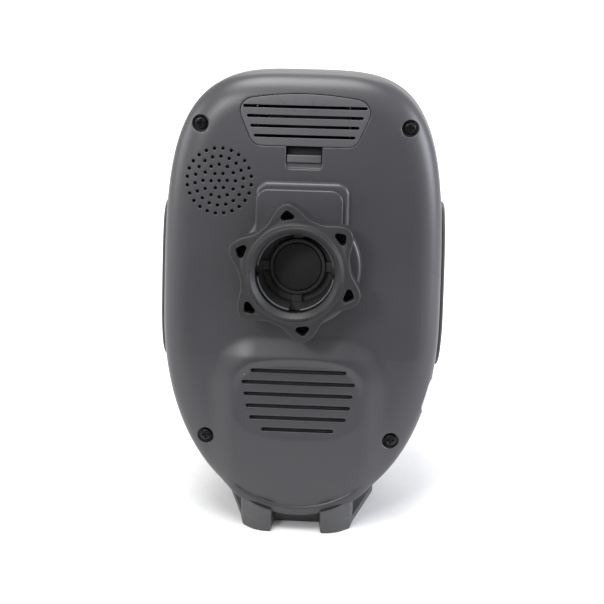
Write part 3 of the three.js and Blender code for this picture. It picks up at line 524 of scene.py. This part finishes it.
FINISH = {
    "shell": finish_of("shell_plastic", (0.029, 0.028, 0.032), 0.37, grain=0.32, depth=0.012, specks=0.8),
    "door": finish_of("door_plastic", (0.047, 0.045, 0.05), 0.42, grain=0.32, depth=0.012, specks=0.3),
    "dark_plastic": finish_of("nut_plastic", (0.014, 0.014, 0.015), 0.46, grain=0.4, depth=0.006, specks=0.2,
                              Specular_IOR_Level=0.34),
    "socket": finish_of("socket_plastic", (0.024, 0.024, 0.026), 0.5, grain=0.4, depth=0.006),
    "latch": finish_of("latch_plastic", (0.034, 0.034, 0.037), 0.45, grain=0.32, depth=0.008),
    "pad": finish_of("pad_rubber", (0.02, 0.02, 0.021), 0.7, grain=0.4, depth=0.01, Specular_IOR_Level=0.3),
    "foot": finish_of("foot_plastic", (0.04, 0.04, 0.042), 0.45, grain=0.4, depth=0.008),
    # a much lighter copy of the socket's plastic for the finger rims: a painted highlight on their edges
    "rim": finish_of("painted_highlight_rim", (0.1, 0.1, 0.104), 0.3, grain=0.3, depth=0.003),
    "cloth": finish_of("dust_cloth", (0.06, 0.06, 0.063), 0.9, grain=0.5, depth=0.03),
    "ferrite": finish_of("ferrite", (0.035, 0.035, 0.037), 0.6, grain=0.6, depth=0.01),
    "mark": finish_of("key_mark", (0.6, 0.6, 0.6), 0.6, grain=0.3, depth=0.002),
    "rubber": finish_of("grip_rubber", (0.016, 0.016, 0.018), 0.62, grain=0.5, depth=0.02, sheen=0.1),
    "silicone": finish_of("port_silicone", (0.72, 0.76, 0.79), 0.35, grain=0.6, depth=0.004,
                          Subsurface_Weight=0.4, Subsurface_Scale=0.003),
    "light_pipe": finish_of("light_pipe", (0.7, 0.72, 0.74), 0.15, grain=0.6, depth=0.002,
                            Transmission_Weight=0.6),
    "key": finish_of("key_rubber", (0.13, 0.13, 0.135), 0.6, grain=0.3, depth=0.012),
    "black_steel": finish_of("black_steel", (0.02, 0.02, 0.021), 0.3, grain=0.5, depth=0.003, metal=0.7),
    "bright_steel": finish_of("bright_steel", (0.66, 0.62, 0.55), 0.28, grain=0.4, depth=0.002, metal=1.0),
    "circuit_board": finish_of("circuit_board", (0.02, 0.12, 0.06), 0.35, grain=0.5, depth=0.004),
    "chip": finish_of("chip", (0.015, 0.015, 0.016), 0.5, grain=0.3, depth=0.004),
    "copper": finish_of("copper", (0.6, 0.28, 0.12), 0.25, grain=0.4, depth=0.002, metal=1.0),
    "lens": finish_of("display_lens", (0.012, 0.013, 0.015), 0.07, grain=4, depth=0.0005, Coat_Weight=0.6),
    "paper": finish_of("speaker_paper", (0.03, 0.03, 0.032), 0.85, grain=0.35, depth=0.03),
    "cell_sleeve": finish_of("cell_sleeve", (0.014, 0.014, 0.016), 0.35, grain=0.8, depth=0.002),
    "red_lead": finish_of("red_lead", (0.45, 0.02, 0.015), 0.4, grain=0.5, depth=0.003),
    "black_lead": finish_of("black_lead", (0.012, 0.012, 0.012), 0.4, grain=0.5, depth=0.003),
}


def dress(obj, body, finish, nodes=(), angle=32):
    """Gives a piece its finish, smooth shading with crisp edges, its body and the CAD nodes it replaces."""
    obj.data.materials.clear()
    obj.data.materials.append(FINISH[finish])
    obj.data.shade_smooth()
    obj.data.set_sharp_from_angle(angle=math.radians(angle))
    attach(obj, body)
    if nodes:
        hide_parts(*nodes)
    return obj


FERRITE = ("speaker_magnet", "rear_speaker_magnet")

for part in frame["record"]["subparts"]:
    cad = frame["nodes"][part["node"]]
    cad.data.materials.clear()
    cad.data.materials.append(FINISH["ferrite" if part["node"] in FERRITE else part["material_slot"]])


# ---------------------------------------------------------------- rear shell
DOOR_CORNERS = [
    (-16.9, 127.8, 4.2), (16.9, 127.8, 4.2), (23.3, 142.3, 4.4), (14, 143.95, 110), (7, 144.65, 110),
    (0, 144.9, 110), (-7, 144.65, 110), (-14, 143.95, 110), (-23.3, 142.3, 4.4),
]
DOOR_OUTLINE = rounded(DOOR_CORNERS, 220)
DOOR_SLOT = {"half": 20.5, "shorter": 1.25, "height": 1.0, "top": 140.6, "pitch": 3.22}
DOOR_GAP = 0.18
RECESS = {"half": 6, "bottom": 120.3, "top": 129.5, "floor": 6.4, "corner": 1.6}
LOUVRE = {"height": 1.25, "top": 52.4, "pitch": 4.07, "halves": [16.1, 19.1, 18.4, 17.6, 16.3, 12.2]}
HOLES = {"x": -27.9, "z": 115.6, "radius": 0.6, "pitch": 2.7, "rings": [1, 6, 12, 18, 24]}
RING_TURN = [0, 3, 1, 7, 9.5]
SCREWS = [(-34.7, 134.3), (34.7, 134.5), (-31.3, 28.4), (31.5, 28.8)]
SCREW_FLOOR = 6.2                 # the screws' recesses end at this depth
SCREW_RECESS = 2.8
SCREW_BOSS = 4.4
GRIP = {"rear": 10.5, "front": 41, "bottom": 53, "top": 107.5, "corner": 7, "proud": 1.15, "seat": 0.7}
PORT = {"y": 10, "z": 44.2, "half_y": 3.8, "half_z": 5.75, "corner": 2.6, "proud": 0.6, "seat": 0.8}
STEPS = [
    {"height": 1.8, "left": -15.5, "right": 15.5, "top": 116.1, "disc_x": -0.4, "radius": 20.4, "edge": 1.3},
    {"height": 3.6, "left": -15.3, "right": 13.5, "top": 113.8, "disc_x": -1.2, "radius": 17.8, "edge": 0.55},
]
SOCKET_BORE = 14.8
STEP_CORNER = 4
STEP_BLEND = 3                    # width over which a step's panel and disc run into each other


def bar(half, height, z):
    """Outline of a slot with round ends, lying along X."""
    radius = height / 2
    turn = np.linspace(-math.pi / 2, math.pi / 2, 9)
    end = np.column_stack([half - radius + radius * np.cos(turn), radius * np.sin(turn)])
    along = np.linspace(half - radius, radius - half, 24)[1:-1]
    top = np.column_stack([along, np.full(22, radius)])
    return np.vstack([end, top, -end, -top]) + [0, z]


def speaker_holes():
    cutters = []
    for ring, count in enumerate(HOLES["rings"]):
        for i in range(count):
            turn = i / count * 2 * math.pi + math.radians(RING_TURN[ring])
            x = HOLES["x"] + ring * HOLES["pitch"] * math.cos(turn)
            z = HOLES["z"] + ring * HOLES["pitch"] * math.sin(turn)
            cutters.append(mouth(circle(HOLES["radius"], x, z, 16), 5, 0.1, surface=rear_height))
    return join(cutters)


def platform(step):
    """One step of the raised platform: a panel and a disc that run into each other."""
    middle, half = (step["left"] + step["right"]) / 2, (step["right"] - step["left"]) / 2
    middle_z, half_z = (step["top"] + SOCKET_Z) / 2, (step["top"] - SOCKET_Z) / 2

    def distance(x, z):
        out_x = np.abs(x - middle) - half + STEP_CORNER
        out_z = np.abs(z - middle_z) - half_z + STEP_CORNER
        panel = np.hypot(np.maximum(out_x, 0), np.maximum(out_z, 0)) - STEP_CORNER
        panel += np.minimum(np.maximum(out_x, out_z), 0)
        disc = np.hypot(x - step["disc_x"], z - SOCKET_Z) - step["radius"]
        share = np.clip(0.5 + (disc - panel) / STEP_BLEND, 0, 1)
        return disc + (panel - disc) * share - STEP_BLEND / 2 * share * (1 - share)

    outline = contour(distance, (step["disc_x"], SOCKET_Z), 40, count=420)
    edge = step["edge"]
    rings = []
    for grow, height in [(0.15, 1.5), (0.15, 0.05), (0.05, -0.05), (0, -0.2), (0, -0.5)]:
        a, b = offset(outline, grow).T
        rings.append(lay("xz", a, b, rear_height(a, b) + height))
    for grow, height in turn_edge((0, edge - step["height"]), (-edge, -step["height"]), 5):
        rings.append(lay("xz", *offset(outline, grow).T, height))
    return loft("platform", rings)


def latch_recess():
    """The finger recess under the door, whose lower end curves up to the face."""
    half, bottom, top = RECESS["half"], RECESS["bottom"], RECESS["top"]
    corner = RECESS["corner"]
    outline = rounded(
        [(-half, bottom, corner), (half, bottom, corner), (half, top, 0.3), (-half, top, 0.3)], 160)
    cutter = mouth(outline, RECESS["floor"], 0.4, surface=rear_height)
    scoop = rounded([
        (-6, bottom - 2, 0.5), (0.6, bottom - 0.4, 0.3), (1.6, bottom + 0.3, 0.6), (1.9, bottom + 2, 0.5),
        (6.6, bottom + 3.2, 0.5), (6.6, top + 2, 0.5), (-6, top + 2, 0.5),
    ], 200)
    return carve(cutter, stack("scoop", scoop, [(0, -12), (0, 12)], plane="yz"), "INTERSECT")


def side_mouth(outline, depth, edge, sign):
    """A cutter that sinks an outline, drawn in (y, z), into a side wall to an even depth."""
    rim = turn_edge((0, -edge), (edge, 0), 3)[::-1]
    levels = [(grow, sign * height) for grow, height in [(edge, 5), *rim, (0, -depth)]]
    return stack("cutter", outline, levels, plane="yz", surface=lambda y, z: sign * side_x(y, z),
                 fill=(0.85, 0.7, 0.5, 0.3, 0.1))


GRIP_OUTLINE = rectangle(GRIP["rear"], GRIP["front"], GRIP["bottom"], GRIP["top"], GRIP["corner"], 240)
PORT_OUTLINE = rectangle(PORT["y"] - PORT["half_y"], PORT["y"] + PORT["half_y"],
                         PORT["z"] - PORT["half_z"], PORT["z"] + PORT["half_z"], PORT["corner"], 120)


def carve_grips(shell):
    for sign in (-1, 1):
        pocket = side_mouth(offset(GRIP_OUTLINE, GAP), GRIP["seat"] + GAP, 0.2, sign)
        shell = carve(shell, pocket)
    return shell


def rear_shell():
    shell = loft("rear_case_shell", rear_rings())
    bosses = join([
        stack("boss", circle(SCREW_BOSS, x, z, 48), [(0, 1), (0, SCREW_FLOOR + 1.5)]) for x, z in SCREWS
    ])
    shell = carve(shell, carve(bosses, case_block(-0.5), "INTERSECT"), "UNION")
    half, bottom = RECESS["half"], RECESS["bottom"]
    pocket = rectangle(-half - 1.2, half + 1.2, bottom - 1.2, 127.4, 1.5)
    shell = carve(shell, stack("pocket", pocket, [(0, 1.2), (0, 7.6)]), "UNION")
    for step in STEPS:
        shell = carve(shell, platform(step), "UNION")
    cutters = [
        latch_recess(),
        mouth(offset(DOOR_OUTLINE, DOOR_GAP), 7.4, 0.2, surface=rear_height),
        speaker_holes(),
        stack("cutter", circle(SOCKET_BORE, SOCKET_X, SOCKET_Z, 96), [(0, -8), (0, 9)]),
        join([
            mouth(bar(length, LOUVRE["height"], LOUVRE["top"] - i * LOUVRE["pitch"]), 8, 0.25,
                  surface=rear_height)
            for i, length in enumerate(LOUVRE["halves"])
        ]),
        join([
            mouth(circle(SCREW_RECESS, x, z, 48), SCREW_FLOOR, 0.35, surface=rear_height)
            for x, z in SCREWS
        ]),
        side_mouth(offset(PORT_OUTLINE, GAP), PORT["seat"] + GAP, 0.15, 1),
    ]
    for cutter in cutters:
        shell = carve(shell, cutter)
    return carve_grips(shell)


dress(rear_shell(), "caller", "shell", ["rear_shell"])

# dust cloths behind the louvres and the speaker holes, just inside the wall
CLOTHS = {
    "louvre_cloth": rectangle(-20.5, 20.5, 30.5, 54.5, 8, 160),
    "speaker_cloth": circle(12.2, HOLES["x"], HOLES["z"], 96),
}
for name, outline in CLOTHS.items():
    levels = [(0, WALL + 0.6), (0, WALL + GAP)]
    cloth = stack(name, outline, levels, surface=rear_height, fill=np.linspace(0.95, 0.02, 20))
    dress(cloth, "caller", "cloth")


# ---------------------------------------------------------------- side grips and port cover
def side_piece(name, outline, inner, outer, edge, sign):
    """A piece that lies along a side wall, from inner to outer as measured from the wall."""
    levels = [(grow, sign * height) for grow, height in block(inner, outer, 0.2, edge)]
    return stack(name, outline, levels, plane="yz", surface=lambda y, z: sign * side_x(y, z),
                 fill=np.linspace(0.96, 0.02, 24))


for side, sign in (("left", -1), ("right", 1)):
    grip = side_piece(f"{side}_grip_pad", GRIP_OUTLINE, -GRIP["seat"], GRIP["proud"], 0.9, sign)
    dress(grip, "caller", "rubber", [f"{side}_side_grip"])
cover = side_piece("port_cover_flap", PORT_OUTLINE, -PORT["seat"], PORT["proud"], 0.5, 1)
dress(cover, "charge_port_cover", "silicone", ["charge_port_cover"])


# ---------------------------------------------------------------- battery door, latch and case screws
def battery_door():
    door = stack("battery_door_skin", DOOR_OUTLINE, block(1.6, 0, 0, 0.2), surface=rear_height,
                 fill=np.linspace(0.97, 0.02, 40))
    slots = [
        mouth(bar(DOOR_SLOT["half"] - i * DOOR_SLOT["shorter"], DOOR_SLOT["height"],
                  DOOR_SLOT["top"] - i * DOOR_SLOT["pitch"]), 8, 0.12, surface=rear_height)
        for i in range(4)
    ]
    return carve(door, join(slots))


dress(battery_door(), "battery_door", "door", ["battery_door"])

# the latch in (y, z): a finger tab, and the spring leg that carries it behind
TAB_CORNERS = [(0.9, 122.3, 0.35), (3, 122.1, 0.3), (2.35, 124.9, 0.3), (1.25, 124.9, 0.45)]
LEG_CORNERS = [
    (2.9, 122.3, 0.2), (5.5, 121.2, 0.3), (5.5, 127, 0.2), (4.9, 127, 0.2), (4.7, 122.3, 0.3),
    (2.9, 122.9, 0.2),
]
tab = stack("latch_tab", rounded(TAB_CORNERS, 140), block(-5.75, 5.75, 0.3, 0.3), plane="yz")
dress(tab, "door_latch", "latch", ["door_latch"])
# the spring leg wears the darker, matte speaker-paper finish instead of the tab's plastic: painted shade in
# the recess behind the tab
leg = stack("latch_leg", rounded(LEG_CORNERS, 160), block(-5.7, 5.7, 0.2, 0.2), plane="yz")
dress(leg, "door_latch", "paper")


def screw(name, place, head, height, length, cross=1.25):
    """A cross-headed screw in its own frame: the head's seat is at y = 0 and its face looks along -Y."""
    body = turned(name, [
        (0, -height, 0), (head, -height, height * 0.35), (head, 0, 0.15), (1.2, 0, 0), (1.2, length, 0.3),
        (0, length, 0),
    ], place, 48)
    for a, b in ((cross, 0.32), (0.32, cross)):
        arm = stack("arm", rectangle(-a, a, -b, b, 0.12, 32), [(0, -height - 1), (0, 0.9 - height)], place)
        body = carve(body, arm)
    return body


for i, (x, z) in enumerate(SCREWS, 1):
    seat = CASE @ Matrix.Translation((x, SCREW_FLOOR - GAP, z))
    dress(screw(f"case_screw_head_{i}", seat, 1.95, 1.6, 11), "caller", "black_steel", [f"case_screw_{i}"])


# each battery contact in (y, z): a plate whose bent tip shows behind the door's top slot
CONTACT_CORNERS = [
    (9, 130, 0.3), (19, 130, 0.3), (19, 144.3, 0.3), (9, 144.3, 0.3), (9, 141, 0.3), (4.4, 140.9, 0.15),
    (4.4, 140.3, 0.15), (9, 137, 0.3),
]
for name, x in (("negative_contact", -16.2), ("positive_contact", 14.5)):
    plate = stack(f"{name}_plate", rounded(CONTACT_CORNERS, 160), block(x, x + 0.45), plane="yz")
    dress(plate, "caller", "bright_steel", [name])


# ---------------------------------------------------------------- ball socket, clamp ring, locking nut
STAR = {"valley": 18.1, "rise": 4.8, "power": 1.5, "lobes": 6, "tip": 98.9}
WINDOW = {"radius": 18.75, "inward": 1.15, "outward": 2.3, "half_base": 3.9, "corner": 1}
BALL_RADIUS = 12.75
BALL_Y = -7.8


def star_outline():
    angle = np.linspace(0, 2 * math.pi, 480, endpoint=False)
    lobe = (1 + np.cos(STAR["lobes"] * angle)) / 2
    radius = STAR["valley"] + STAR["rise"] * lobe ** STAR["power"]
    turn = angle + math.radians(STAR["tip"])
    return resample(np.column_stack([radius * np.cos(turn), radius * np.sin(turn)]), 480)


def windows():
    cutters = []
    for i in range(STAR["lobes"]):
        turn = math.radians(STAR["tip"] + i * 360 / STAR["lobes"])
        c, s = math.cos(turn), math.sin(turn)
        corners = []
        for out, side in ((-WINDOW["inward"], -WINDOW["half_base"]), (WINDOW["outward"], 0),
                          (-WINDOW["inward"], WINDOW["half_base"])):
            reach = WINDOW["radius"] + out
            corners.append((reach * c - side * s, reach * s + side * c, WINDOW["corner"]))
        outline = rounded(corners, 72)
        rings = [(0.2, -20), (0.2, -15.2), (0.06, -15.12), (0, -14.95), (-0.3, -7)]
        cutters.append(stack("cutter", outline, rings, SOCKET))
    return join(cutters)


def locking_nut():
    star = stack("star_nut", star_outline(), block(-6.2, -15.2, 0.4, 0.55), SOCKET)
    star = carve(star, stack("bore", circle(16.2, count=128), [(0, -20), (0, 0)], SOCKET))
    core = turned("collar", [
        (13, -14.5, 0), (13, -15.3, 0.3), (14.6, -17, 0.3), (15.1, -17, 0.25), (15.9, -15.5, 0.4),
        (16.7, -15.15, 0), (16.7, -6.1, 0), (17.6, -6.1, 0),
        (17.6, -4.2, 0.3), (14.85, -4.2, 0), (14.85, -14.5, 0),
    ])
    return carve(carve(star, core, "UNION"), windows())


def carve_slots(piece):
    """Cuts the two crossed slots that part the socket's four fingers."""
    for a, b in ((20, 1.95), (1.95, 20)):
        slot = stack("slot", rectangle(-a, a, -b, b, 0.1, 48), [(0, -20), (0, -1)], SOCKET)
        piece = carve(piece, slot)
    return piece


def ball_socket():
    inside = [(math.sqrt(BALL_RADIUS ** 2 - (y - BALL_Y) ** 2), y, 0) for y in np.linspace(-10.9, -3, 14)]
    socket = turned("socket_barrel", [
        *inside, (11.8, -2.6, 0), (11.8, 4.6, 0), (18, 4.6, 0.3), (18, 2.7, 0.3), (14.4, 2.7, 0),
        (14.4, -9.6, 0.3), (13.1, -11.2, 0.25), (12.45, -11.2, 0.15),
    ])
    hub = stack("hub", circle(9.4, count=96), block(4.6, 0.8, 0, 0.3), SOCKET)
    socket = carve(socket, hub, "UNION")
    web = stack("web", circle(12.2, count=96), block(4.6, 3.2), SOCKET)
    socket = carve(socket, web, "UNION")
    for a, b in ((12.3, 1.7), (1.7, 12.3)):
        rib = stack("rib", rectangle(-a, a, -b, b, 0.1, 48), block(4.6, 1.6, 0, 0.2), SOCKET)
        socket = carve(socket, rib, "UNION")
    socket = carve_slots(socket)
    return carve(socket, stack("cutter", circle(8.2, count=96), [(0, -1), (0, 2.4)], SOCKET))


dress(locking_nut(), "locking_nut", "dark_plastic", ["locking_nut"])
dress(ball_socket(), "caller", "socket", ["ball_socket"])
# the finger rims are part of the socket but get a much lighter finish: a painted highlight where their edges
# catch the light
rims = turned("finger_rims", [(12.4, -11, 0), (12.4, -11.45, 0.12), (12.85, -11.45, 0.12), (12.85, -11, 0)])
dress(carve_slots(rims), "caller", "rim")
ring = turned("clamp_collar", [
    (14.5, -11.7, 0), (14.5, -14.1, 0.1), (13.15, -14.1, 0.1), (13.15, -13.2, 0.1), (14, -11.7, 0.1),
])
dress(ring, "clamp_ring", "socket", ["clamp_ring"])
pad = stack("ball_pad", circle(7.9, count=96), block(2.1, 1.1, 0, 0.25), SOCKET)
dress(pad, "caller", "pad", ["socket_pad"])


# ---------------------------------------------------------------- front shell and what sits in it
LENS = {"half": 22.7, "bottom": 112.3, "top": 133.7, "corner": 2.8}
DISPLAY = {"half": 20.5, "bottom": 114.5, "top": 131.5}
STATUS_Z = 139.5
SPEAKER = {"z": 50, "grille": 27, "opening": 24, "slot_pitch": 6, "slot_reach": 23.5}
KEYS = {
    "previous_key": (-15, 101.5), "play_key": (0, 101.5), "next_key": (15, 101.5),
    "volume_down_key": (-15, 88), "power_key": (0, 88), "volume_up_key": (15, 88),
}
KEY_RADIUS = 4.2


def front_shell():
    shell = loft("front_case_shell", front_rings())
    half = LENS["half"] + GAP
    lens = rectangle(-half, half, LENS["bottom"] - GAP, LENS["top"] + GAP, 3, 160)
    display = rectangle(-DISPLAY["half"], DISPLAY["half"], DISPLAY["bottom"], DISPLAY["top"], 1, 120)
    grille = circle(SPEAKER["grille"] + GAP, 0, SPEAKER["z"], 160)
    cutters = [
        mouth(lens, -1.6, 0.3, 1, place=FRONT),
        stack("cutter", display, [(0, 4), (0, -9)], FRONT),
        mouth(grille, -1.8, 0.3, 1, place=FRONT),
        stack("cutter", circle(SPEAKER["opening"], 0, SPEAKER["z"], 128), [(0, 4), (0, -9)], FRONT),
        mouth(circle(1.5, 0, STATUS_Z, 32), -9, 0.2, 1, place=FRONT),
        join([mouth(circle(KEY_RADIUS + GAP, x, z, 64), -9, 0.35, 1, place=FRONT) for x, z in KEYS.values()]),
    ]
    for cutter in cutters:
        shell = carve(shell, cutter)
    return carve_grips(shell)


dress(front_shell(), "caller", "shell", ["front_shell"])

seam = [case_ring(inset, y) for inset, y in ((0.4, 25.7), (2, 25.7), (2, 26.3), (0.4, 26.3))]
dress(loft("seam_gasket", seam, closed=True), "caller", "rubber", ["shell_gasket"])

window = rectangle(-LENS["half"], LENS["half"], LENS["bottom"], LENS["top"], LENS["corner"], 160)
dress(stack("display_glass", window, block(-1.3, 0, 0, 0.25), FRONT), "caller", "lens", ["display_lens"])



def speaker_guard():
    outline = circle(SPEAKER["grille"], 0, SPEAKER["z"], 160)
    guard = stack("speaker_guard", outline, block(-1.5, 0, 0, 0.3), FRONT)
    slots = []
    for row in range(-3, 4):
        rise = SPEAKER["slot_pitch"] * row
        half = math.sqrt(SPEAKER["slot_reach"] ** 2 - rise ** 2)
        slots.append(mouth(bar(half, 2, SPEAKER["z"] + rise), -4, 0.2, 1, place=FRONT))
    return carve(guard, join(slots))


dress(speaker_guard(), "caller", "black_steel", ["speaker_grille"])

light = turned("status_lens", [(0, 0.3, 0), (1.2, 0.3, 0.3), (1.2, -6, 0), (0, -6, 0)],
               FRONT @ Matrix.Translation((0, 0, STATUS_Z)), 48)
dress(light, "caller", "light_pipe", ["status_light"])

# marks on the keys, as outlines about the key's middle
TRIANGLE = [(-0.9, -1.1, 0.1), (1, 0, 0.15), (-0.9, 1.1, 0.1)]
BAR = [(-0.2, -1.1, 0.08), (0.2, -1.1, 0.08), (0.2, 1.1, 0.08), (-0.2, 1.1, 0.08)]
DASH = [(-1.2, -0.2, 0.08), (1.2, -0.2, 0.08), (1.2, 0.2, 0.08), (-1.2, 0.2, 0.08)]
MARKS = {
    "previous_key": [(TRIANGLE, -1, 0.3), (BAR, 1, -1.1)],
    "play_key": [(TRIANGLE, 1.3, 0)],
    "next_key": [(TRIANGLE, 1, -0.3), (BAR, 1, 1.1)],
    "volume_down_key": [(DASH, 1, 0)],
    "power_key": [(BAR, 1, 0)],
    "volume_up_key": [(DASH, 1, 0), (BAR, 1, 0)],
}


def mark(outline, scale, shift, x, z):
    """A thin raised mark; a negative scale mirrors it. The front face is seen from behind, so X is turned."""
    corners = [(x - (a * scale + shift), z + b * abs(scale), r) for a, b, r in outline]
    if scale > 0:
        corners = corners[::-1]
    return stack("mark", rounded(corners, 48), block(0.9, 1.12, 0, 0.05), FRONT)


for name, (x, z) in KEYS.items():
    cap = turned(f"{name}_cap", [
        (0, 1, 0), (KEY_RADIUS, 1, 0.5), (KEY_RADIUS, -2.6, 0), (5.2, -2.6, 0), (5.2, -3.4, 0), (0, -3.4, 0),
    ], FRONT @ Matrix.Translation((x, 0, z)), 64)
    dress(cap, name, "key", [name])
    marks = join([mark(outline, scale, shift, x, z) for outline, scale, shift in MARKS[name]])
    dress(marks, name, "mark")


# ---------------------------------------------------------------- foot
FOOT = {
    "rear": -32.4, "front": 31, "tab_half": 18.6, "notch_half": 8.5, "notch_back": -24.8,
    "flare_half": 25.6, "flare_rear": -23, "flare_front": -2, "rim": 3, "rim_width": 2.6, "floor": 1.5,
    "crease": 4.6, "top": 12, "ledge": 6.2,
}
FOOT_SCREW = {"x": 9, "y": -20, "seat": 3.5, "bore": 1.5, "head_bore": 2.9, "head_depth": 3.8}


def notched(right):
    """Closed outline with a notch in its rear edge, from the corners of its right half."""
    notch = [(FOOT["notch_half"] - 1, FOOT["notch_back"], 0.8), (FOOT["notch_half"], FOOT["rear"], 0.6)]
    half = notch + right
    return rounded([*half, *[(-x, y, r) for x, y, r in half[::-1]]], 560)


def foot():
    rear, tab = FOOT["rear"], FOOT["tab_half"]
    tab_corners = [(tab - 5, rear, 11), (tab, rear + 4.2, 2)]
    print_corners = tab_corners + [
        (tab + 1, FOOT["flare_rear"], 0.6),
        (FOOT["flare_half"], FOOT["flare_front"], 2), (FOOT["flare_half"], FOOT["front"], 8),
    ]
    column_corners = tab_corners + [(tab + 0.75, rear + 8, 0.5), (16, rear + 12, 1), (16, 20, 3)]
    low = [(-0.5, 0), (-0.3, 0.1), (-0.2, 0.35)]
    base = stack("foot_base", notched(print_corners), low + [(0, 1), (0, FOOT["rim"])], PART, "xy")
    width = FOOT["rim_width"]
    half = [(x - width, y - math.copysign(width, y), 1) for x, y, _ in print_corners]
    inside = rounded(half + [(-x, y, radius) for x, y, radius in half[::-1]], 300)
    base = carve(base, stack("cutter", inside, [(0, FOOT["floor"]), (0, 8)], PART, "xy"))
    crease = [(-0.03, FOOT["crease"] - 0.1), (-0.1, FOOT["crease"]), (-0.02, FOOT["crease"] + 0.1)]
    wall = [*low, (-0.03, 1), *crease, (0.05, FOOT["top"])]
    base = carve(base, stack("column", notched(column_corners), wall, PART, "xy"), "UNION")
    base = carve(base, case_block(-0.3))
    base = carve(base, stack("behind", OUTLINE, [(-0.7, -20), (-0.7, FOOT["ledge"])]))
    sizes = ((FOOT_SCREW["head_bore"], FOOT_SCREW["head_depth"]), (FOOT_SCREW["bore"], 30))
    for x in (-FOOT_SCREW["x"], FOOT_SCREW["x"]):
        for radius, top in sizes:
            bore = stack("cutter", circle(radius, x, FOOT_SCREW["y"], 48), [(0, -1), (0, top)], PART, "xy")
            base = carve(base, bore)
    return base


dress(foot(), "caller", "foot", ["foot"])
for i, x in enumerate((-FOOT_SCREW["x"], FOOT_SCREW["x"]), 1):
    seat = Matrix.Translation((x, FOOT_SCREW["y"], FOOT_SCREW["seat"])) @ Matrix.Rotation(math.pi / 2, 4, "X")
    dress(screw(f"foot_screw_head_{i}", seat, 2.6, 1.6, 13.5), "caller", "black_steel", [f"foot_screw_{i}"])

# ---------------------------------------------------------------- stage, light and camera
CAMERA = {"target": (0.6, 0, 76), "pan": 3.0, "tilt": 9.5, "roll": 1.45, "distance": 620, "lens": 110.86}


def add_camera():
    pan, tilt, roll = (math.radians(CAMERA[k]) for k in ("pan", "tilt", "roll"))
    look = Vector((-math.sin(pan) * math.cos(tilt), math.cos(pan) * math.cos(tilt), -math.sin(tilt)))
    right = Vector((math.cos(pan), math.sin(pan), 0))
    up = right.cross(look)
    across = right * math.cos(roll) + up * math.sin(roll)
    upright = up * math.cos(roll) - right * math.sin(roll)
    eye = Vector(CAMERA["target"]) - look * CAMERA["distance"]
    turn = (CASE.to_3x3() @ Matrix((across, upright, -look)).transposed()).to_4x4()
    camera = bpy.data.objects.new("camera", bpy.data.cameras.new("camera"))
    camera.data.lens = CAMERA["lens"]
    camera.data.clip_start = 0.01
    camera.matrix_world = Matrix.Translation(CASE @ eye / 1000) @ turn
    bpy.context.scene.collection.objects.link(camera)
    bpy.context.scene.camera = camera


add_camera()


def add_light(name, place, size, power, color=(1, 1, 1)):
    light = bpy.data.lights.new(name, "AREA")
    light.shape = "DISK"
    light.size = size
    light.energy = power
    light.color = color
    obj = bpy.data.objects.new(name, light)
    obj.location = place
    obj.rotation_mode = "QUATERNION"
    obj.rotation_quaternion = (Vector((0, 0, 0.08)) - Vector(place)).to_track_quat("-Z", "Y")
    bpy.context.scene.collection.objects.link(obj)


add_light("top_softbox", (-0.1, -0.16, 1.05), 0.6, 10)
add_light("back_softbox", (0, 0.8, 0.8), 0.7, 3)
add_light("key_softbox", (-0.42, -0.8, 0.72), 0.25, 4)
add_light("left_softbox", (-0.9, -0.1, 0.4), 0.6, 3.5)
add_light("right_softbox", (0.9, -0.1, 0.4), 0.6, 9, (0.88, 0.9, 1))

world = bpy.data.worlds.new("studio")
world.use_nodes = True
world.node_tree.nodes["Background"].inputs["Color"].default_value = (1, 1, 1, 1)
world.node_tree.nodes["Background"].inputs["Strength"].default_value = 1.05
bpy.context.scene.world = world
bpy.context.scene.view_settings.view_transform = "Standard"

# a black card behind the camera keeps the faces that look at it dark, as in a light tent's opening
card_corners = [(-700, -900, 0), (700, -900, 0), (700, -900, 480), (-700, -900, 480)]
card = build("card", card_corners, [(0, 1, 2, 3)], PART)
card.data.materials.append(finish_of("black_card", (0.01, 0.01, 0.01), 0.9, grain=1, depth=0.001))

floor_corners = [(-3000, -3000, 0), (3000, -3000, 0), (3000, 3000, 0), (-3000, 3000, 0)]
floor = build("floor", floor_corners, [(0, 1, 2, 3)], PART)
paper = finish_of("floor_paper", (0.68, 0.68, 0.68), 0.9, grain=1.5, depth=0.001, vary=0.01)
floor.data.materials.append(paper)
